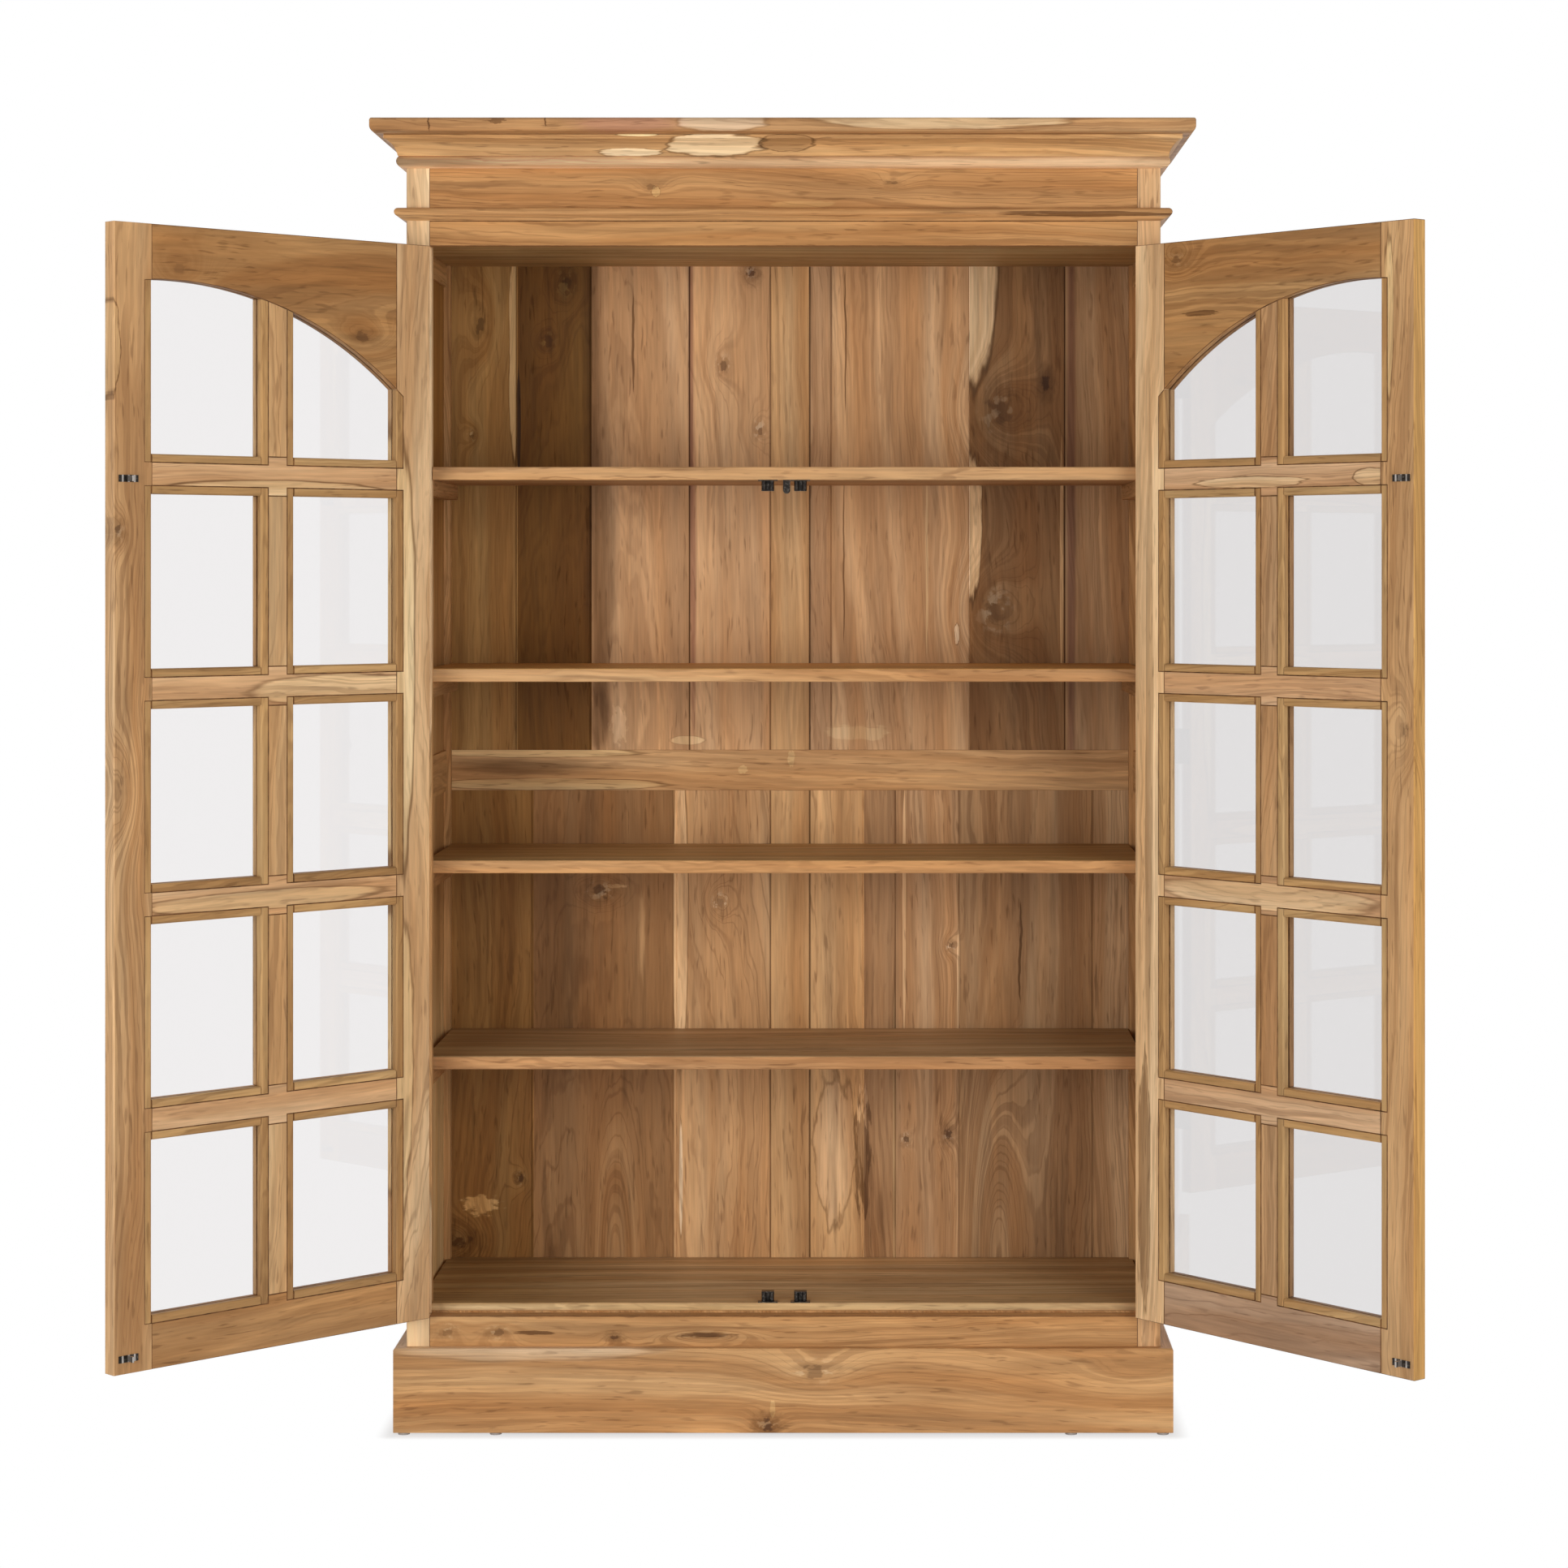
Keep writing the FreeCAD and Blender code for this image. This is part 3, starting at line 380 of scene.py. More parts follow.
class Knot:
    """A knot: the rings swell round it, and its ragged middle is dark, with a light eye."""

    def __init__(self, at, half, swell=0.02, dark=0.5, core=0.3, eye=0.0):
        self.at, self.half, self.swell = at, half, swell
        self.dark, self.core, self.eye = dark, core, eye

    def bulge(self, g, spot):
        away = g.vector("LENGTH", g.together(*local(g, spot, self.at, self.half), 0.0))
        hill = g.math("EXPONENT", g.times(g.times(away, away), -1.0))
        return g.times(hill, self.swell)

    def colour(self, g, spot, ragged, colour):
        if not self.dark:
            return colour
        near = g.together(*local(g, spot, self.at, self.half), self.at[0] * noise_step)
        rough = g.noise(near, 2.6, 4.0)[0]
        away = g.shifted(g.from_axis(near), rough, 1.2)
        halo = g.inverse(g.smooth(away, self.core, 3.2 * self.core))
        colour = g.toned(colour, dark_tint, g.times(halo, 0.6 * self.dark))
        middle = g.inverse(g.smooth(away, 0.5 * self.core, self.core))
        colour = g.blend(g.times(middle, self.dark), colour, wood_knot)
        if not self.eye:
            return colour
        spark = g.times(g.smooth(rough, 0.53, 0.6), g.inverse(g.smooth(away, 0.2, 0.9)))
        return g.toned(colour, sap_tint, g.times(spark, self.eye))


class Patch:
    """A ragged patch of another tone, such as sapwood, with or without a dark rim."""

    def __init__(self, at, half, tone=sap_tint, strength=0.9, rim=0.0, ragged=0.5, soft=0.12,
                 wave=0.0, start=None, end=None):
        self.at, self.half, self.tone, self.strength = at, half, tone, strength
        self.rim, self.ragged, self.soft, self.wave = rim, ragged, soft, wave
        self.start, self.end = start, end

    def colour(self, g, spot, ragged, colour):
        a, b = local(g, spot, self.at, self.half)
        if self.wave:
            swing = g.noise(g.together(self.at[0] * noise_step, b, self.at[1] * noise_step), 1.6, 2.0)[0]
            a = g.shifted(a, swing, self.wave)
        near = g.together(a, b, self.at[0] * noise_step)
        rough = g.noise(near, 1.7, 4.0)[0]
        away = g.shifted(g.from_axis(near), rough, self.ragged)
        away = g.math("MULTIPLY_ADD", ragged, 0.3 * self.ragged, away)
        allowed = 1.0
        if self.start is not None:
            allowed = g.math("GREATER_THAN", spot[0], self.start)
        if self.end is not None:
            allowed = g.times(allowed, g.math("LESS_THAN", spot[0], self.end))
        inside = g.times(g.inverse(g.smooth(away, 1 - self.soft, 1 + self.soft)), allowed)
        colour = g.toned(colour, self.tone, g.times(inside, self.strength))
        if not self.rim:
            return colour
        edge = g.times(g.inverse(g.smooth(g.distance(away, 1.06), 0.0, 0.1)), allowed)
        return g.toned(colour, rim_tint, g.times(edge, self.rim))


def along_x(g, place):
    x, y, z = g.apart(place)
    return g.together(z, y, x), (x, z)


def front_edge(g, place):
    """Along X, with features that stay near the front edge of the top board."""
    x, y, z = g.apart(place)
    behind = g.math("MAXIMUM", g.math("SUBTRACT", y, top_front_y + edge_reach), 0.0)
    return g.together(z, y, x), (x, g.math("ADD", z, behind))


def along_y(g, place):
    x, y, z = g.apart(place)
    return g.together(z, x, y), (y, z)


def along_z(g, place):
    x, y, z = g.apart(place)
    return place, (x, z)


def mitred(g, place):
    """Along X on the front run of a moulding and along Y on its side runs."""
    x, y, z = g.apart(place)
    beyond_side = g.math("SUBTRACT", g.math("ABSOLUTE", x), side_x)
    beyond_front = g.math("SUBTRACT", front_y, y)
    side = g.math("GREATER_THAN", beyond_side, beyond_front)
    side_grain = g.together(z, g.math("ADD", x, side_run_shift[0]), g.math("ADD", y, side_run_shift[1]))
    return g.choose(side, g.together(z, y, x), side_grain), (x, z)


def along_back(g, x, shares):
    """Where x lies along the back, from 0 to 1, and where each board but the first starts."""
    return g.math("MULTIPLY_ADD", x, 0.5 / back_half, 0.5), [(share + 1) / 2 for share in shares]


def boards(shares):
    """Upright boards side by side, each from its own part of a log."""
    def lie(g, place):
        x, y, z = g.apart(place)
        along, starts = along_back(g, x, shares)
        logs = [((0.37 * i) % 1, (0.61 * i) % 1, (0.53 * i) % 1) for i in range(len(shares) + 1)]
        shift = g.scaled(g.steps(along, starts, logs), board_shift)
        return g.vector("ADD", place, shift), (x, z)
    return lie


def board_tones(shares, darkness, looks):
    """A tone for each of several upright boards side by side, with dark seams between them."""
    tones = [tint(*look) for look in looks]
    brightest = max(max(each) for each in tones)
    colours = [[value / brightest for value in each] for each in tones]

    def tone(g, place):
        x = g.apart(place)[0]
        along, starts = along_back(g, x, shares)
        shade = g.scaled(g.steps(along, starts, colours), (brightest,) * 3)
        seams = [(share * back_half, dark) for share, dark in zip(shares, darkness) if dark]
        muntin_seam = muntin_half + seam_half
        seams += [(-muntin_seam, muntin_seam_darkness[0]), (muntin_seam, muntin_seam_darkness[1])]
        for seam, dark in seams:
            away = g.distance(x, seam)
            line = g.inverse(g.smooth(away, 0.4 * seam_half, 1.6 * seam_half))
            shade = g.toned(shade, seam_tone, g.times(line, dark))
        return shade
    return tone


def top_shaded_look(look, level, tone):
    """A board's colour, with painted light and shade on its top face, and painted shade towards the ends of
    that face.
    """
    def tones(g, place):
        x, y, z = g.apart(place)
        on_top = g.math("GREATER_THAN", z, level - arris)
        ends = g.times(on_top, g.smooth(g.math("ABSOLUTE", x), top_end_start, side_x))
        both = [a * b for a, b in zip(tint(*look), tone)]
        return g.toned(g.choose(on_top, tint(*look), both), top_end_shade_tone, ends)
    return tones


def back_frame_lie(g, place):
    """Rails of the back along X, and its middle muntin upright."""
    x, y, z = g.apart(place)
    middle = g.math("LESS_THAN", g.math("ABSOLUTE", x), muntin_half)
    clear = g.inverse(g.between(z, *mid_rail_span))
    clear = g.times(clear, g.between(z, back_bottom_rail_top, back_top_rail_bottom))
    upright = g.times(middle, clear)
    return g.choose(upright, g.together(z, y, x), place), (x, z)


def on_closed_door(g, place, side):
    """A place on an open door, turned back to where it is when the door is closed."""
    hinge, angle = door_turn(side)
    inputs = {"Vector": place, "Center": hinge, "Angle": angle}
    return g.add("VectorRotate", inputs, rotation_type="Z_AXIS").outputs[0]


def door_lie(side, way):
    """The grain of a door's uprights or of its rails, alike or from row to row."""
    def lie(g, place):
        closed = on_closed_door(g, place, side)
        x, y, z = g.apart(closed)
        grain = g.together(z, y, x) if way.startswith("across") else closed
        if way.endswith("rows"):
            row = g.math("FLOOR", g.math("MULTIPLY_ADD", z, 1 / row_pitch, -first_row_bottom / row_pitch))
            shift = g.scaled(g.together(row, row, row), row_shift)
            grain = g.vector("ADD", grain, shift)
        return grain, (x, z)
    return lie


def bead_lie(side):
    """Glazing beads: the level ones lie within a column of panes, the others are upright."""
    def lie(g, place):
        closed = on_closed_door(g, place, side)
        x, y, z = g.apart(closed)
        away = g.distance(g.math("ABSOLUTE", x), back_half / 2)
        level = g.between(away, bar_width / 2, (back_half - 2 * stile_width) / 2)
        return g.choose(level, closed, g.together(z, y, x)), (x, z)
    return lie


def wood(name, lie, pith=(0.0, 0.0), seed=0, look=None, marks=(), free_edge=None, **log):
    """A teak material. lie gives the grain and the face's two directions, pith the log's middle."""
    material, g = new_material(name)
    place = g.place()
    grain, spot = lie(g, place)
    moved = g.vector("SUBTRACT", grain, (*pith, -seed_shift * seed))
    moved = g.add("Mapping", {"Vector": moved, "Rotation": log_tilt}).outputs[0]
    group = g.add("Group", node_tree=teak)
    g.feed(group.inputs["Grain"], moved)
    for key, value in log.items():
        group.inputs[key.capitalize()].default_value = value
    bulges = [mark.bulge(g, spot) for mark in marks if isinstance(mark, Knot)]
    if bulges:
        g.feed(group.inputs["Bulge"], reduce(lambda a, b: g.math("ADD", a, b), bulges))
    colour = group.outputs["Color"]
    for mark in marks:
        colour = mark.colour(g, spot, group.outputs["Ragged"], colour)
    if callable(look):
        colour = g.scaled(colour, look(g, place))
    elif look:
        colour = g.scaled(colour, tint(*look))
    # Painted light on the door's free edge face
    if free_edge:
        x = g.math("ABSOLUTE", g.apart(on_closed_door(g, place, free_edge))[0])
        colour = g.toned(colour, lit_free_edge_tones[free_edge], g.math("LESS_THAN", x, free_edge_x))
    height = group.outputs["Height"]
    bump = g.add("Bump", {"Height": height, "Strength": 0.35, "Distance": pore_depth})
    g.finish("BsdfPrincipled", {
        "Base Color": colour, "Roughness": g.math("MULTIPLY_ADD", height, -0.12, 0.58),
        "Normal": bump.outputs[0], "Specular IOR Level": 0.28,
    })
    return material


def dress(material, *names):
    """Gives CAD nodes a material in place of their own."""
    for name in names:
        for slot in nodes[name].material_slots:
            slot.material = material


def metal_material(name="bronzed_steel", side=None):
    """Dark bronzed steel, with painted glints: pale spots in place of highlights. A door's strikes have
    bright screws.
    """
    material, g = new_material(name)
    place = g.place()
    cloud = g.noise(place, 130.0, 3.0)[0]
    grit = g.noise(place, 1600.0, 2.0)[0]
    colour = g.blend(g.smooth(cloud, 0.35, 0.7), paint(30, 26, 23), paint(58, 50, 44))
    # Painted glints: pale spots that stand in for highlights
    painted_glints = g.smooth(g.noise(place, 300.0, 3.0)[0], 0.48, 0.75)
    colour = g.blend(g.times(painted_glints, 0.35), colour, paint(150, 142, 132))
    if side:
        x = g.math("ABSOLUTE", g.apart(on_closed_door(g, place, side))[0])
        off = g.distance(x, catch_x)
        nearest = g.math("MINIMUM", g.distance(off, screw_spacing), off)
        screw = g.inverse(g.smooth(nearest, screw_radius, screw_rim))
        colour = g.blend(g.times(screw, 0.85), colour, paint(196, 188, 180))
    bump = g.add("Bump", {"Height": grit, "Strength": 0.2, "Distance": grit_depth})
    g.finish("BsdfPrincipled", {
        "Base Color": colour, "Roughness": g.math("MULTIPLY_ADD", cloud, 0.25, 0.2),
        "Normal": bump.outputs[0], "Metallic": 0.7,
    })
    return material


def glide_material():
    """Pale grey plastic."""
    material, g = new_material("glide_plastic")
    cloud = g.noise(g.place(), 400.0, 2.0)[0]
    colour = g.blend(cloud, paint(150, 144, 140), paint(176, 170, 166))
    g.finish("BsdfPrincipled", {"Base Color": colour, "Roughness": 0.5})
    return material


def glass_material(name, colour):
    """Clear window glass, with a trace of dust in its roughness."""
    material, g = new_material(name)
    dust = g.noise(g.place(), 9.0, 3.0)[0]
    g.finish("BsdfPrincipled", {
        "Base Color": colour, "Roughness": g.times(g.smooth(dust, 0.45, 0.8), 0.02),
        "IOR": 1.45, "Transmission Weight": 1.0,
    })
    return material


# Places of the wood's features in the photograph, in pixels
plinth_sap_px = (640, 1658)
plinth_burl_px = (1006, 1690)
plinth_knot_px = (945, 1756)
plinth_wedge_px = (952, 1736)
plinth_arch_px = (1390, 1700)
rail_burl_px = (612, 1642)
rail_second_burl_px = (552, 1640)
rail_crack_px = (660, 1642)
rail_eye_px = (757, 1648)
rail_swirl_px = (870, 1645)
frieze_knot_px = (804, 230)
frieze_eye_px = (808, 236)
frieze_second_knot_px = (1100, 225)
frieze_sap_px = (990, 252)
bead_mark_px = (1350, 265)
cove_sap_px = (880, 180)
cove_second_sap_px = (775, 189)
cove_third_sap_px = (786, 169)
cove_leaf_px = (970, 178)
bead_sap_px = (700, 199)
bead_light_px = (555, 203)
top_sap_px = (887, 150)
top_second_sap_px = (1155, 148)
top_burl_px = (1245, 144)
top_rosy_px = (770, 152)
top_first_mark_px = (528, 152)
top_next_mark_px = (612, 147)
top_last_mark_px = (672, 148)
floor_light_px = (960, 1610)
floor_edge_shadow_px = (960, 1620)
mid_rail_top_px = (662, 927)
mid_rail_foot_px = (680, 966)
mid_rail_tongue_px = (645, 944)
mid_rail_eye_px = (915, 948)
mid_rail_next_eye_px = (975, 935)
upper_shadow_px = (731, 440)
upper_next_shadow_px = (742, 700)
upper_left_eye_px = (581, 536)
upper_dark_eye_px = (697, 350)
upper_second_eye_px = (675, 420)
upper_seam_shadow_px = (851, 430)
upper_next_seam_shadow_px = (854, 700)
upper_side_shadow_px = (1320, 600)
lower_flecks_px = (1062, 1398)
upper_strip_px = (634, 430)
upper_left_knot_px = (592, 395)
upper_gap_px = (639, 520)
upper_crack_px = (780, 420)
upper_knot_px = (891, 450)
upper_next_knot_px = (936, 529)
upper_top_knot_px = (925, 336)
upper_line_px = (1042, 420)
upper_sap_px = (1194, 338)
upper_swirl_px = (1232, 505)
upper_mark_px = (1288, 472)
upper_second_sap_px = (1196, 650)
upper_second_swirl_px = (1224, 752)
upper_pale_line_px = (1308, 690)
upper_drop_px = (1179, 781)
upper_second_line_px = (1040, 690)
upper_third_line_px = (1142, 700)
upper_foot_px = (1055, 903)
upper_chip_px = (847, 912)
upper_last_shadow_px = (739, 885)
upper_foot_streak_px = (762, 895)
lower_knot_px = (566, 1530)
lower_splash_px = (592, 1484)
lower_ring_px = (641, 1452)
lower_line_px = (839, 1450)
lower_strip_px = (838, 1120)
lower_round_px = (887, 1112)
lower_pale_eye_px = (1171, 1165)
lower_pale_line_px = (1181, 1205)
lower_next_line_px = (1114, 1120)
lower_curve_px = (1257, 1175)
lower_shade_px = (686, 1170)
lower_flaw_px = (740, 1098)
lower_squiggle_px = (760, 1092)
lower_glow_px = (791, 1150)
lower_seam_light_px = (657, 1385)
lower_sap_px = (1028, 1415)
lower_ragged_px = (1062, 1430)
lower_stripe_px = (1102, 1430)
lower_arch_px = (1225, 1560)
lower_second_arch_px = (757, 1560)
lower_first_eye_px = (1116, 1404)
lower_next_eye_px = (1168, 1398)
lower_crack_px = (990, 1450)
left_outline_px = (137, 425)
left_stile_knot_px = (146, 655)
left_stile_burl_px = (150, 975)
left_rail_swirl_px = (222, 330)
left_rail_figure_px = (450, 415)
left_rail_lens_px = (345, 607)
left_second_lens_px = (420, 848)
left_third_lens_px = (330, 1108)
left_hinge_pale_px = (492, 800)
left_hinge_foot_px = (492, 1300)
right_rail_burl_px = (1450, 318)
right_rail_streak_px = (1480, 386)
right_stile_pale_px = (1711, 385)
right_rail_lens_px = (1540, 594)
right_rail_eye_px = (1690, 587)
right_second_lens_px = (1560, 1105)
right_stile_knot_px = (1730, 900)
right_hinge_streak_px = (1416, 900)
right_hinge_foot_px = (1410, 1450)


def clad(name, lie, **log):
    """Dresses a node in the wood that carries its name."""
    dress(wood(name + "_wood", lie, **log), name)


def dress_front():
    """The front boards, rails and mouldings of the case."""
    plinth_marks = (
        Patch(seen(plinth_sap_px, plinth_y), (0.2, 0.022), tint(212, 176, 140), soft=0.25, rim=0.35),
        Knot(seen(plinth_burl_px, plinth_y), (0.07, 0.035), swell=0.035, dark=0.45, core=0.2, eye=0.4),
        Knot(seen(plinth_knot_px, plinth_y), (0.03, 0.025), dark=0.9, core=0.35, eye=0.9),
        Patch(seen(plinth_wedge_px, plinth_y), (0.004, 0.013), pale_tint, ragged=0.8),
        Knot(seen(plinth_arch_px, plinth_y), (0.17, 0.045), swell=0.03, dark=0.0),
    )
    clad("plinth", mitred, pith=(-0.35, front_y + 0.1), seed=1, look=(194, 144, 97),
         marks=plinth_marks, figure=0.34, streaks=0.2)
    rail_marks = (
        Knot(seen(rail_burl_px), (0.035, 0.02), core=0.25, eye=0.5),
        Knot(seen(rail_second_burl_px), (0.03, 0.022), dark=0.35, core=0.25, eye=0.4),
        Patch(seen(rail_crack_px), (0.03, 0.003), dark_tint, ragged=1.6),
        Knot(seen(rail_eye_px), (0.02, 0.012), swell=0.012, dark=0.8, core=0.35),
        Knot(seen(rail_swirl_px), (0.07, 0.012), swell=0.03, dark=0.35, eye=0.5),
        Patch(seen(rail_swirl_px), (0.04, 0.003), dark_tint, strength=0.8, ragged=2.4),
    )
    clad("bottom_rail", along_x, pith=(0.4, front_y + 0.1), seed=2, look=(188, 138, 91), marks=rail_marks)
    clad("top_rail", along_x, pith=(1.95, front_y), seed=3, look=(178, 127, 80), streaks=0.2)
    frieze_marks = (
        Knot(seen(frieze_knot_px), (0.03, 0.016), swell=0.012, dark=0.4, core=0.25),
        Patch(seen(frieze_eye_px), (0.007, 0.008), pale_tint, ragged=0.9, rim=0.6),
        Knot(seen(frieze_second_knot_px), (0.03, 0.014), swell=0.012, core=0.25),
        Patch(seen(frieze_sap_px), (0.05, 0.006), pale_tint, strength=0.7, ragged=0.9),
    )
    dress(wood("frieze_wood", along_x, pith=(1.75, front_y + 0.1), seed=4, look=(187, 133, 84),
               marks=frieze_marks), "frieze_board")
    bead_marks = (Patch(seen(bead_mark_px), (0.12, 0.004), dark_tint, ragged=2.0),)
    clad("frieze_bead", mitred, pith=(1.6, front_y + 0.05), seed=5, look=(208, 157, 107), marks=bead_marks)
    bead_marks = (
        Patch(seen(bead_sap_px), (0.24, 0.006), (1.14, 1.14, 1.12), ragged=0.8, soft=0.4),
        Patch(seen(bead_light_px), (0.32, 0.02), (1.36, 1.38, 1.4), strength=1.0, ragged=0.3, soft=0.7),
    )
    clad("cornice_bead", mitred, pith=(1.6, front_y), seed=68, look=(228, 182, 140),
         streaks=0.1, marks=bead_marks)
    cove_marks = (
        Patch(seen(cove_sap_px), (0.072, 0.016), rim=0.8, ragged=0.8),
        Patch(seen(cove_second_sap_px), (0.05, 0.006), rim=0.7, ragged=0.9),
        Patch(seen(cove_third_sap_px), (0.032, 0.0025), tint(240, 210, 160), rim=0.6),
        Patch(seen(cove_leaf_px), (0.04, 0.011), dark_tint, strength=0.35, rim=0.9),
    )
    dress(wood("cove_wood", mitred, pith=(1.8, front_y + 0.05), seed=7, look=(209, 159, 108),
               marks=cove_marks), "cornice_cove")
    top_marks = (
        Patch(seen(top_sap_px, top_front_y), (0.066, 0.014), rim=0.4, tone=tint(210, 174, 139)),
        Patch(seen(top_second_sap_px, top_front_y), (0.19, 0.012), rim=0.5, ragged=0.8,
              tone=tint(222, 184, 140)),
        Patch(seen(top_burl_px, top_front_y), (0.04, 0.004), dark_tint, strength=0.6, ragged=2.4),
        Patch(seen(top_rosy_px, top_front_y), (0.08, 0.014), tint(180, 128, 98), ragged=0.6, soft=0.4),
        Patch(seen(top_first_mark_px, top_front_y), (0.0015, 0.011), dark_tint, ragged=0.8, wave=5.0),
        Patch(seen(top_next_mark_px, top_front_y), (0.012, 0.006), dark_tint, ragged=2.0, strength=0.7),
        Patch(seen(top_last_mark_px, top_front_y), (0.0015, 0.009), dark_tint, ragged=0.8, wave=5.0),
    )
    clad("top_board", front_edge, pith=(1.9, -0.2), seed=8, look=(188, 140, 96),
         marks=top_marks, figure=0.5)
    for side, pith_x, heart, look in (
        ("left", -0.2, 0.352, (210, 161, 112)), ("right", 0.2, 0.356, (202, 145, 94)),
    ):
        dress(wood(side + "_post_wood", along_z, pith=(pith_x, front_y + 0.02), seed=9, look=look,
                   heart=heart, sap=0.6), "front_post_" + side)


def dress_inside():
    """The shelves, floor, ceiling, sides and hidden wood of the case."""
    low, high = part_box("floor_board")
    floor_marks = (
        # A painted shadow along the foot of the floor board's front edge
        Patch(seen(floor_edge_shadow_px, low.y), (0.6, 0.0045), dark_tint, strength=0.7, ragged=1.6, soft=0.4),
        Patch(seen(floor_light_px, low.y), (0.6, 0.0045), tint(202, 160, 112), ragged=0.8, soft=0.4),
        Patch((floor_shade_x, high.z), (0.22, 0.003), (0.74, 0.7, 0.62), soft=0.6),
    )
    # The tone after each look is painted light and shade on that board's top face
    for name, seed, look, top_light_tone, marks in (
        ("shelf_1", 15, (185, 139, 97), plain_tone, ()),
        ("shelf_2", 16, (196, 145, 99), (1.35, 1.4, 1.1), ()),
        ("shelf_3", 17, (199, 146, 98), (0.88, 1.02, 1.0), ()),
        ("shelf_4", 18, (186, 134, 90), (1.04, 1.33, 1.6), ()),
        ("floor_board", 14, (205, 163, 118), (1.0, 1.07, 1.12), floor_marks),
        ("ceiling_board", 13, (185, 146, 98), plain_tone, ()),
    ):
        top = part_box(name)[1].z
        clad(name, along_x, pith=(top + 0.11, -0.2), seed=seed, streaks=0.55, marks=marks,
             look=top_shaded_look(look, top, top_light_tone))
    dress(wood("cleat_wood", along_y, pith=(0.8, 0.2), seed=20, look=(178, 130, 86)), "shelf_cleats")
    dress(wood("rear_post_wood", along_z, pith=(0.2, 0.1), seed=10), "rear_post_left", "rear_post_right")
    dress(wood("side_rail_wood", along_y, pith=(0.9, 0.2), seed=11, look=(194, 148, 100)),
          "side_rails_left", "side_rails_right")
    low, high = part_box("side_panels")
    panel_marks = (
        Patch((low.x, panel_pale_z), (0.06, 0.28), (1.6, 2.0, 2.4), soft=0.4),
        Patch((low.x, panel_shade_z), (0.06, 0.36), (0.7, 0.58, 0.34), soft=0.4),
        Patch((high.x, panel_shade_z), (0.06, 0.8), (1.5, 1.65, 1.75), soft=0.4),
    )
    dress(wood("side_panel_wood", along_z, pith=(0.3, 0.0), seed=12, look=(186, 140, 92), marks=panel_marks),
          "side_panels")


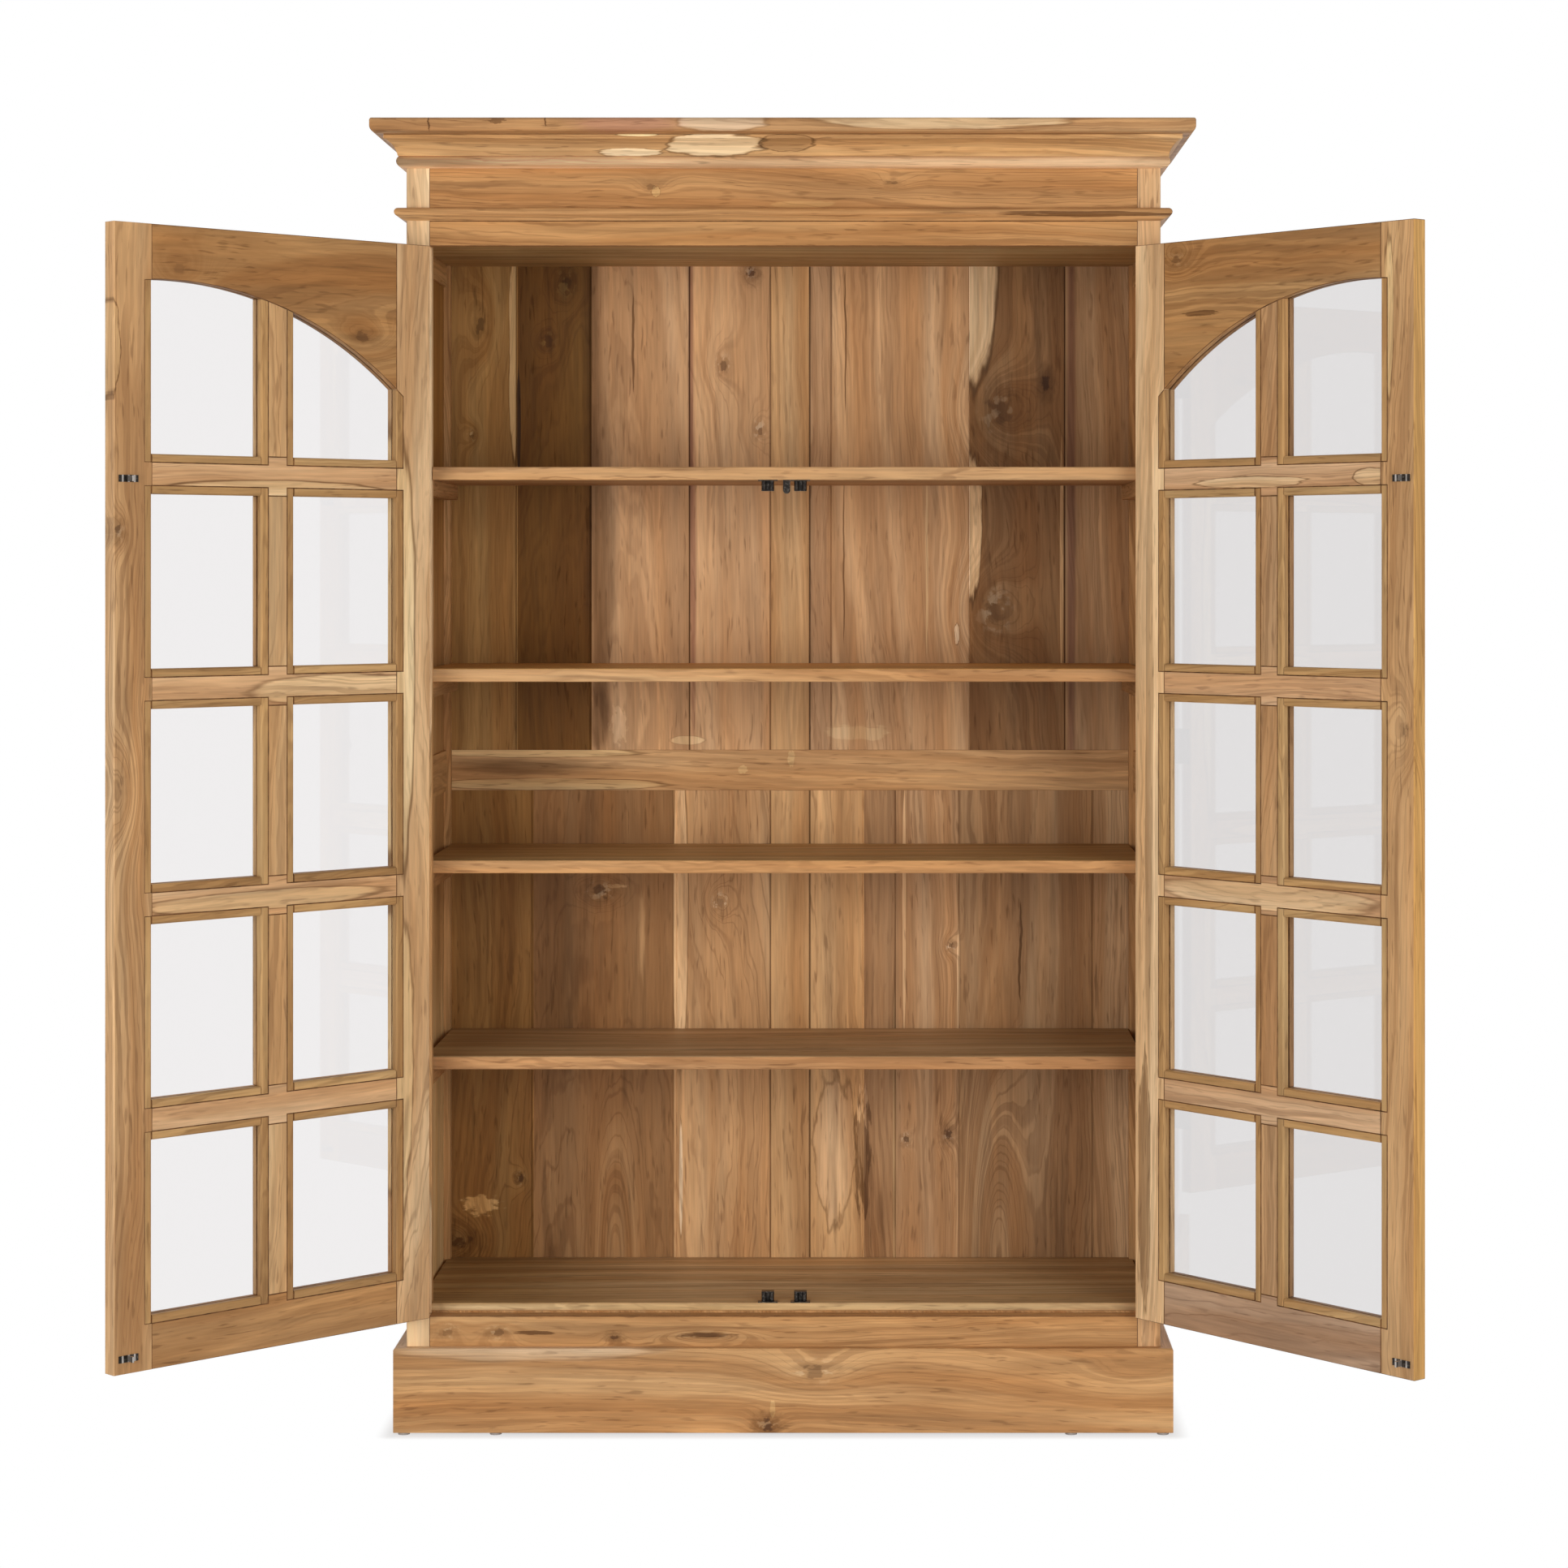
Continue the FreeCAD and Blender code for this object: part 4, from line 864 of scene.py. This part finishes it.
def dress_back():
    """The back's frame and its two tiers of boards."""
    def at(pixel):
        return seen(pixel, back_y)

    rail_marks = (
        Patch(at(mid_rail_top_px), (0.16, 0.0075), pale_tint, rim=0.7),
        Patch(at(mid_rail_foot_px), (0.18, 0.009), pale_tint, rim=0.7),
        Patch(at(mid_rail_tongue_px), (0.11, 0.012), shadow_tint, strength=0.8, ragged=0.8, soft=0.5),
        Patch(at(mid_rail_eye_px), (0.007, 0.006), pale_tint, ragged=1.4),
        Patch(at(mid_rail_next_eye_px), (0.006, 0.012), pale_tint, ragged=1.4),
    )
    clad("back_frame", back_frame_lie, pith=(0.85, 0.08), seed=21, look=(193, 147, 103),
         marks=rail_marks, figure=0.26, streaks=0.25)
    seams = [share * back_half for share in upper_seam_shares]
    upper_marks = (
        Knot(at(upper_left_knot_px), (0.03, 0.07), swell=0.03, dark=0.6, core=0.2),
        Knot(at(upper_left_eye_px), (0.016, 0.02), dark=0.4, core=0.2, eye=0.8),
        Patch(at(upper_strip_px), (0.009, 0.17), (2.0, 2.5, 3.6), rim=0.8, ragged=0.8, end=seams[0]),
        Patch(at(upper_gap_px), (0.0035, 0.09), tint(84, 54, 30), ragged=0.6),
        Patch(at(upper_shadow_px), (0.012, 0.3), shadow_tint, ragged=0.9, soft=0.7),
        Patch(at(upper_next_shadow_px), (0.02, 0.22), shadow_tint, ragged=0.9, soft=0.6),
        Patch(at(upper_last_shadow_px), (0.015, 0.06), shadow_tint, ragged=0.6, soft=0.4),
        Patch(at(upper_foot_streak_px), (0.012, 0.03), (1.3, 1.4, 1.5), ragged=2.4),
        Knot(at(upper_dark_eye_px), (0.03, 0.045), swell=0.03, eye=1.0),
        Knot(at(upper_second_eye_px), (0.024, 0.03), dark=0.4, eye=1.0),
        # Painted shadows along three seams of the upper boards
        Patch(at(upper_seam_shadow_px), (0.004, 0.3), seam_shadow_tint, soft=0.5),
        Patch(at(upper_next_seam_shadow_px), (0.005, 0.26), seam_shadow_tint, ragged=0.6, soft=0.5),
        Patch(at(upper_side_shadow_px), (0.007, 0.6), seam_shadow_tint, soft=0.5),
        Patch(at(upper_crack_px), (0.002, 0.08), dark_tint, ragged=0.9, wave=3.0),
        Knot(at(upper_knot_px), (0.024, 0.04), swell=0.014, dark=0.6, core=0.2, eye=0.4),
        Knot(at(upper_next_knot_px), (0.02, 0.03), swell=0.012, core=0.25, eye=0.6),
        Knot(at(upper_top_knot_px), (0.016, 0.02), swell=0.01, dark=0.9, core=0.5, eye=1.0),
        Patch(at(upper_line_px), (0.0013, 0.12), dark_tint, wave=6.0),
        Patch(at(upper_sap_px), (0.044, 0.18), (3.0, 4.1, 5.6), rim=0.9, start=seams[5]),
        Knot(at(upper_swirl_px), (0.06, 0.07), swell=0.07, core=0.35, eye=0.8),
        Knot(at(upper_mark_px), (0.014, 0.03), swell=0.0, dark=0.9, core=0.5),
        Patch(at(upper_second_sap_px), (0.017, 0.12), (3.0, 4.1, 5.6), rim=0.8, ragged=0.8, start=seams[5]),
        Knot(at(upper_second_swirl_px), (0.055, 0.07), swell=0.07, dark=0.4, eye=0.9),
        Patch(at(upper_pale_line_px), (0.003, 0.2), (2.2, 2.6, 3.0)),
        Patch(at(upper_drop_px), (0.004, 0.018), tint(222, 184, 140), ragged=0.7, rim=0.8),
        Patch(at(upper_second_line_px), (0.0013, 0.14), dark_tint, wave=7.0),
        Patch(at(upper_third_line_px), (0.002, 0.14), pale_tint, wave=2.0),
        Patch(at(upper_foot_px), (0.05, 0.012), pale_tint, strength=0.6, ragged=1.4),
        Patch(at(upper_chip_px), (0.027, 0.007), (1.4, 1.65, 1.75), ragged=0.3, rim=0.3),
    )
    upper_looks = (
        (170, 126, 76), (110, 71, 31), (200, 154, 114), (205, 157, 115),
        (179, 137, 102), (190, 145, 106), (134, 95, 62), (174, 133, 97),
    )
    dress(wood("back_upper_wood", boards(upper_seam_shares), pith=(0.3, 0.06), seed=22,
               look=board_tones(upper_seam_shares, upper_seam_darkness, upper_looks),
               marks=upper_marks, figure=0.3), "back_boards_upper")

    seams = [share * back_half for share in lower_seam_shares]
    lower_marks = (
        Knot(at(lower_knot_px), (0.05, 0.04), swell=0.05, dark=0.7, core=0.35, eye=0.4),
        Patch(at(lower_splash_px), (0.028, 0.013), (2.4, 3.0, 4.0), ragged=2.8, soft=0.3, rim=0.4),
        Knot(at(lower_ring_px), (0.016, 0.022), dark=0.7, eye=1.0),
        Patch(at(lower_line_px), (0.003, 0.09), rim=0.6),
        Patch(at(lower_strip_px), (0.0125, 0.24), (1.4, 1.6, 1.85), ragged=0.4, rim=0.8, start=seams[1]),
        Knot(at(lower_round_px), (0.024, 0.03), swell=0.024, dark=0.35, core=0.2, eye=1.0),
        Knot(at(lower_pale_eye_px), (0.014, 0.018), swell=0.014, eye=1.0),
        Patch(at(lower_pale_line_px), (0.0022, 0.09), (1.9, 2.2, 2.5)),
        Patch(at(lower_next_line_px), (0.003, 0.2), (1.8, 2.1, 2.4), ragged=0.6, rim=0.5),
        Patch(at(lower_curve_px), (0.0022, 0.08), dark_tint, wave=5.0),
        Patch(at(lower_shade_px), (0.034, 0.17), shadow_tint, strength=0.6, ragged=1.0, soft=0.6),
        Knot(at(lower_flaw_px), (0.04, 0.03), swell=0.03, dark=0.6, core=0.35, eye=1.0),
        Patch(at(lower_squiggle_px), (0.018, 0.0035), (1.7, 2.0, 2.3), ragged=2.4),
        Patch(at(lower_glow_px), (0.005, 0.06), (1.6, 1.8, 2.0), ragged=1.4, soft=0.5),
        Patch(at(lower_seam_light_px), (0.0014, 0.07), (1.5, 1.6, 1.7), ragged=0.6),
        Patch(at(lower_sap_px), (0.032, 0.12), (1.02, 1.06, 1.18), strength=1.0,
              rim=0.6, ragged=1.0, soft=0.2),
        Patch(at(lower_ragged_px), (0.012, 0.09), dark_tint, ragged=2.6, strength=0.8),
        Patch(at(lower_flecks_px), (0.007, 0.07), (1.6, 1.8, 2.1), ragged=3.6),
        Patch(at(lower_stripe_px), (0.0025, 0.3), pale_tint, ragged=0.6, rim=0.5),
        Knot(at(lower_arch_px), (0.045, 0.26), swell=0.09, dark=0.0),
        Knot(at(lower_second_arch_px), (0.04, 0.24), swell=0.08, dark=0.0),
        Knot(at(lower_first_eye_px), (0.014, 0.02), swell=0.016, dark=0.7, eye=1.0),
        Knot(at(lower_next_eye_px), (0.018, 0.025), swell=0.016, dark=0.8, core=0.4, eye=0.6),
        Patch(at(lower_crack_px), (0.0012, 0.12), dark_tint, wave=3.0),
    )
    lower_looks = (
        (149, 104, 58), (157, 114, 76), (200, 152, 108), (209, 161, 114),
        (162, 120, 85), (184, 141, 104), (165, 124, 88), (191, 150, 112),
    )
    dress(wood("back_lower_wood", boards(lower_seam_shares), pith=(0.3, 0.06), seed=23,
               look=board_tones(lower_seam_shares, lower_seam_darkness, lower_looks),
               marks=lower_marks), "back_boards_lower")


def door_marks(side):
    """The knots and patches of a door, by the part that has them."""
    def at(pixel):
        return seen_on_door(pixel, side)

    if side == "right":
        return {
            "arched_rail": (
                Knot(at(right_rail_burl_px), (0.04, 0.03), swell=0.03, eye=0.3),
                Patch(at(right_rail_streak_px), (0.035, 0.004), dark_tint, strength=0.8, ragged=1.6),
            ),
            "meeting_stile": (
                Knot(at(right_stile_knot_px), (0.03, 0.06), swell=0.03, dark=0.4, core=0.1),
                Patch(at(right_stile_pale_px), (0.009, 0.11), pale_tint, rim=0.7, ragged=0.6),
            ),
            "cross_rails": (
                Patch(at(right_rail_lens_px), (0.1, 0.008), pale_tint, rim=0.8, ragged=0.8),
                Patch(at(right_rail_eye_px), (0.033, 0.012), pale_tint, rim=0.9, ragged=0.4),
                Patch(at(right_second_lens_px), (0.2, 0.02), pale_tint, rim=0.5),
            ),
            "hinge_stile": (
                Patch(at(right_hinge_streak_px), (0.008, 0.5), dark_tint, strength=0.5, ragged=0.8,
                      wave=1.5),
                Patch(at(right_hinge_foot_px), (0.012, 0.18), dark_tint, strength=0.8, ragged=0.9, rim=0.8),
            ),
        }
    return {
        "meeting_stile": (
            Patch(at(left_outline_px), (0.014, 0.06), pale_tint, strength=0.3, rim=0.9, ragged=0.9),
            Knot(at(left_stile_knot_px), (0.02, 0.03), dark=0.7, eye=0.4),
            Knot(at(left_stile_burl_px), (0.03, 0.07), swell=0.04, dark=0.3, core=0.2),
        ),
        "arched_rail": (
            Knot(at(left_rail_swirl_px), (0.05, 0.04), swell=0.045, dark=0.2, core=0.1),
            Knot(at(left_rail_figure_px), (0.06, 0.03), swell=0.03, core=0.2),
        ),
        "cross_rails": (
            Patch(at(left_rail_lens_px), (0.19, 0.017), pale_tint, rim=0.9, ragged=0.35),
            Patch(at(left_second_lens_px), (0.16, 0.02), pale_tint, rim=0.6),
            Patch(at(left_third_lens_px), (0.2, 0.013), pale_tint, rim=0.7),
        ),
        "hinge_stile": (
            Patch(at(left_hinge_pale_px), (0.028, 0.3), pale_tint, rim=0.9),
            Patch(at(left_hinge_foot_px), (0.025, 0.2), pale_tint, rim=0.7, ragged=0.7),
        ),
    }


door_looks = {
    "left": {
        "meeting_stile": (187, 141, 98), "hinge_stile": (209, 165, 122), "arched_rail": (166, 118, 73),
        "bottom_rail": (179, 131, 86), "cross_rails": (211, 164, 122), "muntins": (207, 163, 118),
    },
    "right": {
        "meeting_stile": (203, 157, 112), "hinge_stile": (233, 191, 147), "arched_rail": (183, 134, 86),
        "bottom_rail": (174, 137, 110), "cross_rails": (205, 160, 122), "muntins": (190, 145, 104),
    },
}


def dress_door(side, sign, seed):
    """One door's wood. sign is -1 on the left and 1 on the right."""
    door = side + "_door_"
    face = door_inner_y
    marks = door_marks(side)
    ways = {
        "arched_rail": "across", "bottom_rail": "across",
        "cross_rails": "across rows", "muntins": "up rows",
    }
    piths = {
        "meeting_stile": (sign * 0.2, face), "hinge_stile": (sign * 0.3, face + 0.03),
        "arched_rail": (1.6, face + 0.05), "bottom_rail": (0.35, face + 0.1),
        "cross_rails": (0.75, face), "muntins": (sign * 0.1, face),
    }
    for index, (part, look) in enumerate(door_looks[side].items()):
        edge = side if part == "meeting_stile" else None
        clad(door + part, door_lie(side, ways.get(part, "up")), pith=piths[part], seed=seed + index,
             look=look, marks=marks.get(part, ()), free_edge=edge)
    dress(wood(door + "bead_wood", bead_lie(side), pith=(0.2, 0.5), seed=seed + 7, look=(186, 143, 96)),
          door + "glazing_beads")


def dress_hardware():
    """Bronzed metal, plastic glides and glass."""
    metal = metal_material()
    dress(metal, "hinge_frame_leaves", "catch_housings", "stop_lug")
    # Each door's glass has its own colour: the right door's darker grey is painted shade
    for side, clear in (("left", (239, 237, 237)), ("right", (225, 223, 223))):
        dress(metal, side + "_door_hinge_leaves", side + "_door_knob")
        dress(metal_material(side + "_strike_steel", side), side + "_door_strikes")
        for level in ("lower", "upper"):
            dress(metal, "roller_" + level + "_outer_" + side, "roller_" + level + "_inner_" + side)
        dress(glass_material(side + "_glass", paint(*clear)), side + "_door_panes")
        nodes[side + "_door_panes"].visible_shadow = False
    dress(glide_material(), "glides")


def seam_and_shade_material():
    """The dark line where two pieces of wood meet, also used as painted shade along square arrises."""
    material, g = new_material("wood_seam_and_shade")
    cloud = g.noise(g.place(), 60.0, 3.0)[0]
    colour = g.blend(g.smooth(cloud, 0.3, 0.7), wood_seam_and_shade, paint(136, 94, 58))
    g.finish("BsdfPrincipled", {"Base Color": colour, "Roughness": 0.8})
    return material


def soften():
    """Takes the sharp arrises off every wooden node. On the doors, the back frame, the front rails and the
    frieze board, every bevelled arris is dark: a joint line where pieces meet, and painted shade along the
    other arrises.
    """
    dark = seam_and_shade_material()
    for name, node in nodes.items():
        if "wood" not in node.material_slots[0].material.name:
            continue
        weld = node.modifiers.new("weld", "WELD")
        weld.merge_threshold = 1e-6
        join = node.modifiers.new("join_flats", "DECIMATE")
        join.decimate_type = "DISSOLVE"
        join.angle_limit = math.radians(0.5)
        bevel = node.modifiers.new("arris", "BEVEL")
        bevel.width = arris
        bevel.segments = 2
        bevel.limit_method = "ANGLE"
        bevel.angle_limit = math.radians(60)
        # Dark bevel faces: joint lines, and painted shade on the other square arrises
        if "_door_" in name or name in ("back_frame", "top_rail", "bottom_rail", "frieze_board"):
            node.data.materials.append(dark)
            bevel.material = len(node.data.materials) - 1


def plainly_seen(g):
    """1 for what the eye sees, also in gloss and through glass."""
    rays = g.add("LightPath").outputs
    seen_or_shone = g.math("MAXIMUM", rays["Is Camera Ray"], rays["Is Glossy Ray"])
    return g.math("MAXIMUM", seen_or_shone, rays["Is Transmission Ray"])


def world_light():
    """Plain room light, and a white background for the eye, for gloss and through glass."""
    world = bpy.data.worlds.new("studio")
    bpy.context.scene.world = world
    world.use_nodes = True
    world.node_tree.nodes.clear()
    g = Graph(world.node_tree)
    room = g.add("Background", {"Color": white, "Strength": room_strength})
    shown = g.add("Background", {"Color": white, "Strength": 1.0})
    both = g.add("MixShader", {0: plainly_seen(g), 1: room.outputs[0], 2: shown.outputs[0]})
    g.add("OutputWorld", {0: both.outputs[0]})


def studio_floor():
    """A pale floor that the eye sees nearly white, with the cabinet's shadow near it."""
    bpy.ops.mesh.primitive_plane_add(size=2 * floor_half, location=(0, 0, 0))
    floor = bpy.context.object
    floor.name = "studio_floor"
    material, g = new_material("studio_floor")
    place = g.place()
    cloud = g.noise(place, 0.8, 2.0)[0]
    colour = g.blend(cloud, paint(240, 240, 240), paint(246, 246, 246))
    plain = g.add("BsdfDiffuse", {"Color": colour})
    bright = g.add("Emission", {"Color": white, "Strength": 1.0})
    x, y, z = g.apart(place)
    beside = g.math("SUBTRACT", g.math("ABSOLUTE", x), footprint_half[0])
    before = g.math("SUBTRACT", g.distance(y, footprint_y), footprint_half[1])
    beyond = g.together(g.math("MAXIMUM", beside, 0.0), g.math("MAXIMUM", before, 0.0), 0.0)
    near = g.inverse(g.smooth(g.vector("LENGTH", beyond), 0.0, contact_width))
    share = g.times(plainly_seen(g), g.inverse(g.times(near, contact_share)))
    g.finish("MixShader", {0: share, 1: plain.outputs[0], 2: bright.outputs[0]})
    floor.data.materials.append(material)


def area_light(name, place, size, power):
    """A square soft light, turned to the cabinet."""
    data = bpy.data.lights.new(name, "AREA")
    data.size = size
    data.energy = power
    light = bpy.data.objects.new(name, data)
    bpy.context.scene.collection.objects.link(light)
    light.location = place
    light.rotation_euler = (key_aim - place).to_track_quat("-Z", "Y").to_euler()
    light.visible_camera = False
    light.visible_glossy = False
    light.visible_transmission = False


def lights():
    """Two soft lights in front, one to each side, and one behind."""
    for side, turn in (("left", -key_spread), ("right", key_spread)):
        away = Vector((math.sin(turn), -math.cos(turn), 0.0)) * key_distance
        place = Vector((key_aim.x + away.x, key_aim.y + away.y, key_height))
        area_light("key_" + side, place, key_size, key_power)
    area_light("rear", rear_place, rear_size, rear_power)


def make_camera():
    """The photograph's camera: level, square to the front, with its frame shifted."""
    data = bpy.data.cameras.new("camera")
    data.sensor_width = sensor_width
    data.lens = focal_px / photo_side * sensor_width
    data.shift_x = 0.5 - ahead_px[0] / photo_side
    data.shift_y = ahead_px[1] / photo_side - 0.5
    camera = bpy.data.objects.new("camera", data)
    bpy.context.scene.collection.objects.link(camera)
    camera.location = camera_place
    camera.rotation_euler = (math.pi / 2, 0.0, 0.0)
    bpy.context.scene.camera = camera


dress_front()
dress_inside()
dress_back()
dress_door("left", -1, 30)
dress_door("right", 1, 50)
dress_hardware()
soften()
world_light()
studio_floor()
lights()
make_camera()
bpy.context.scene.view_settings.view_transform = "Standard"
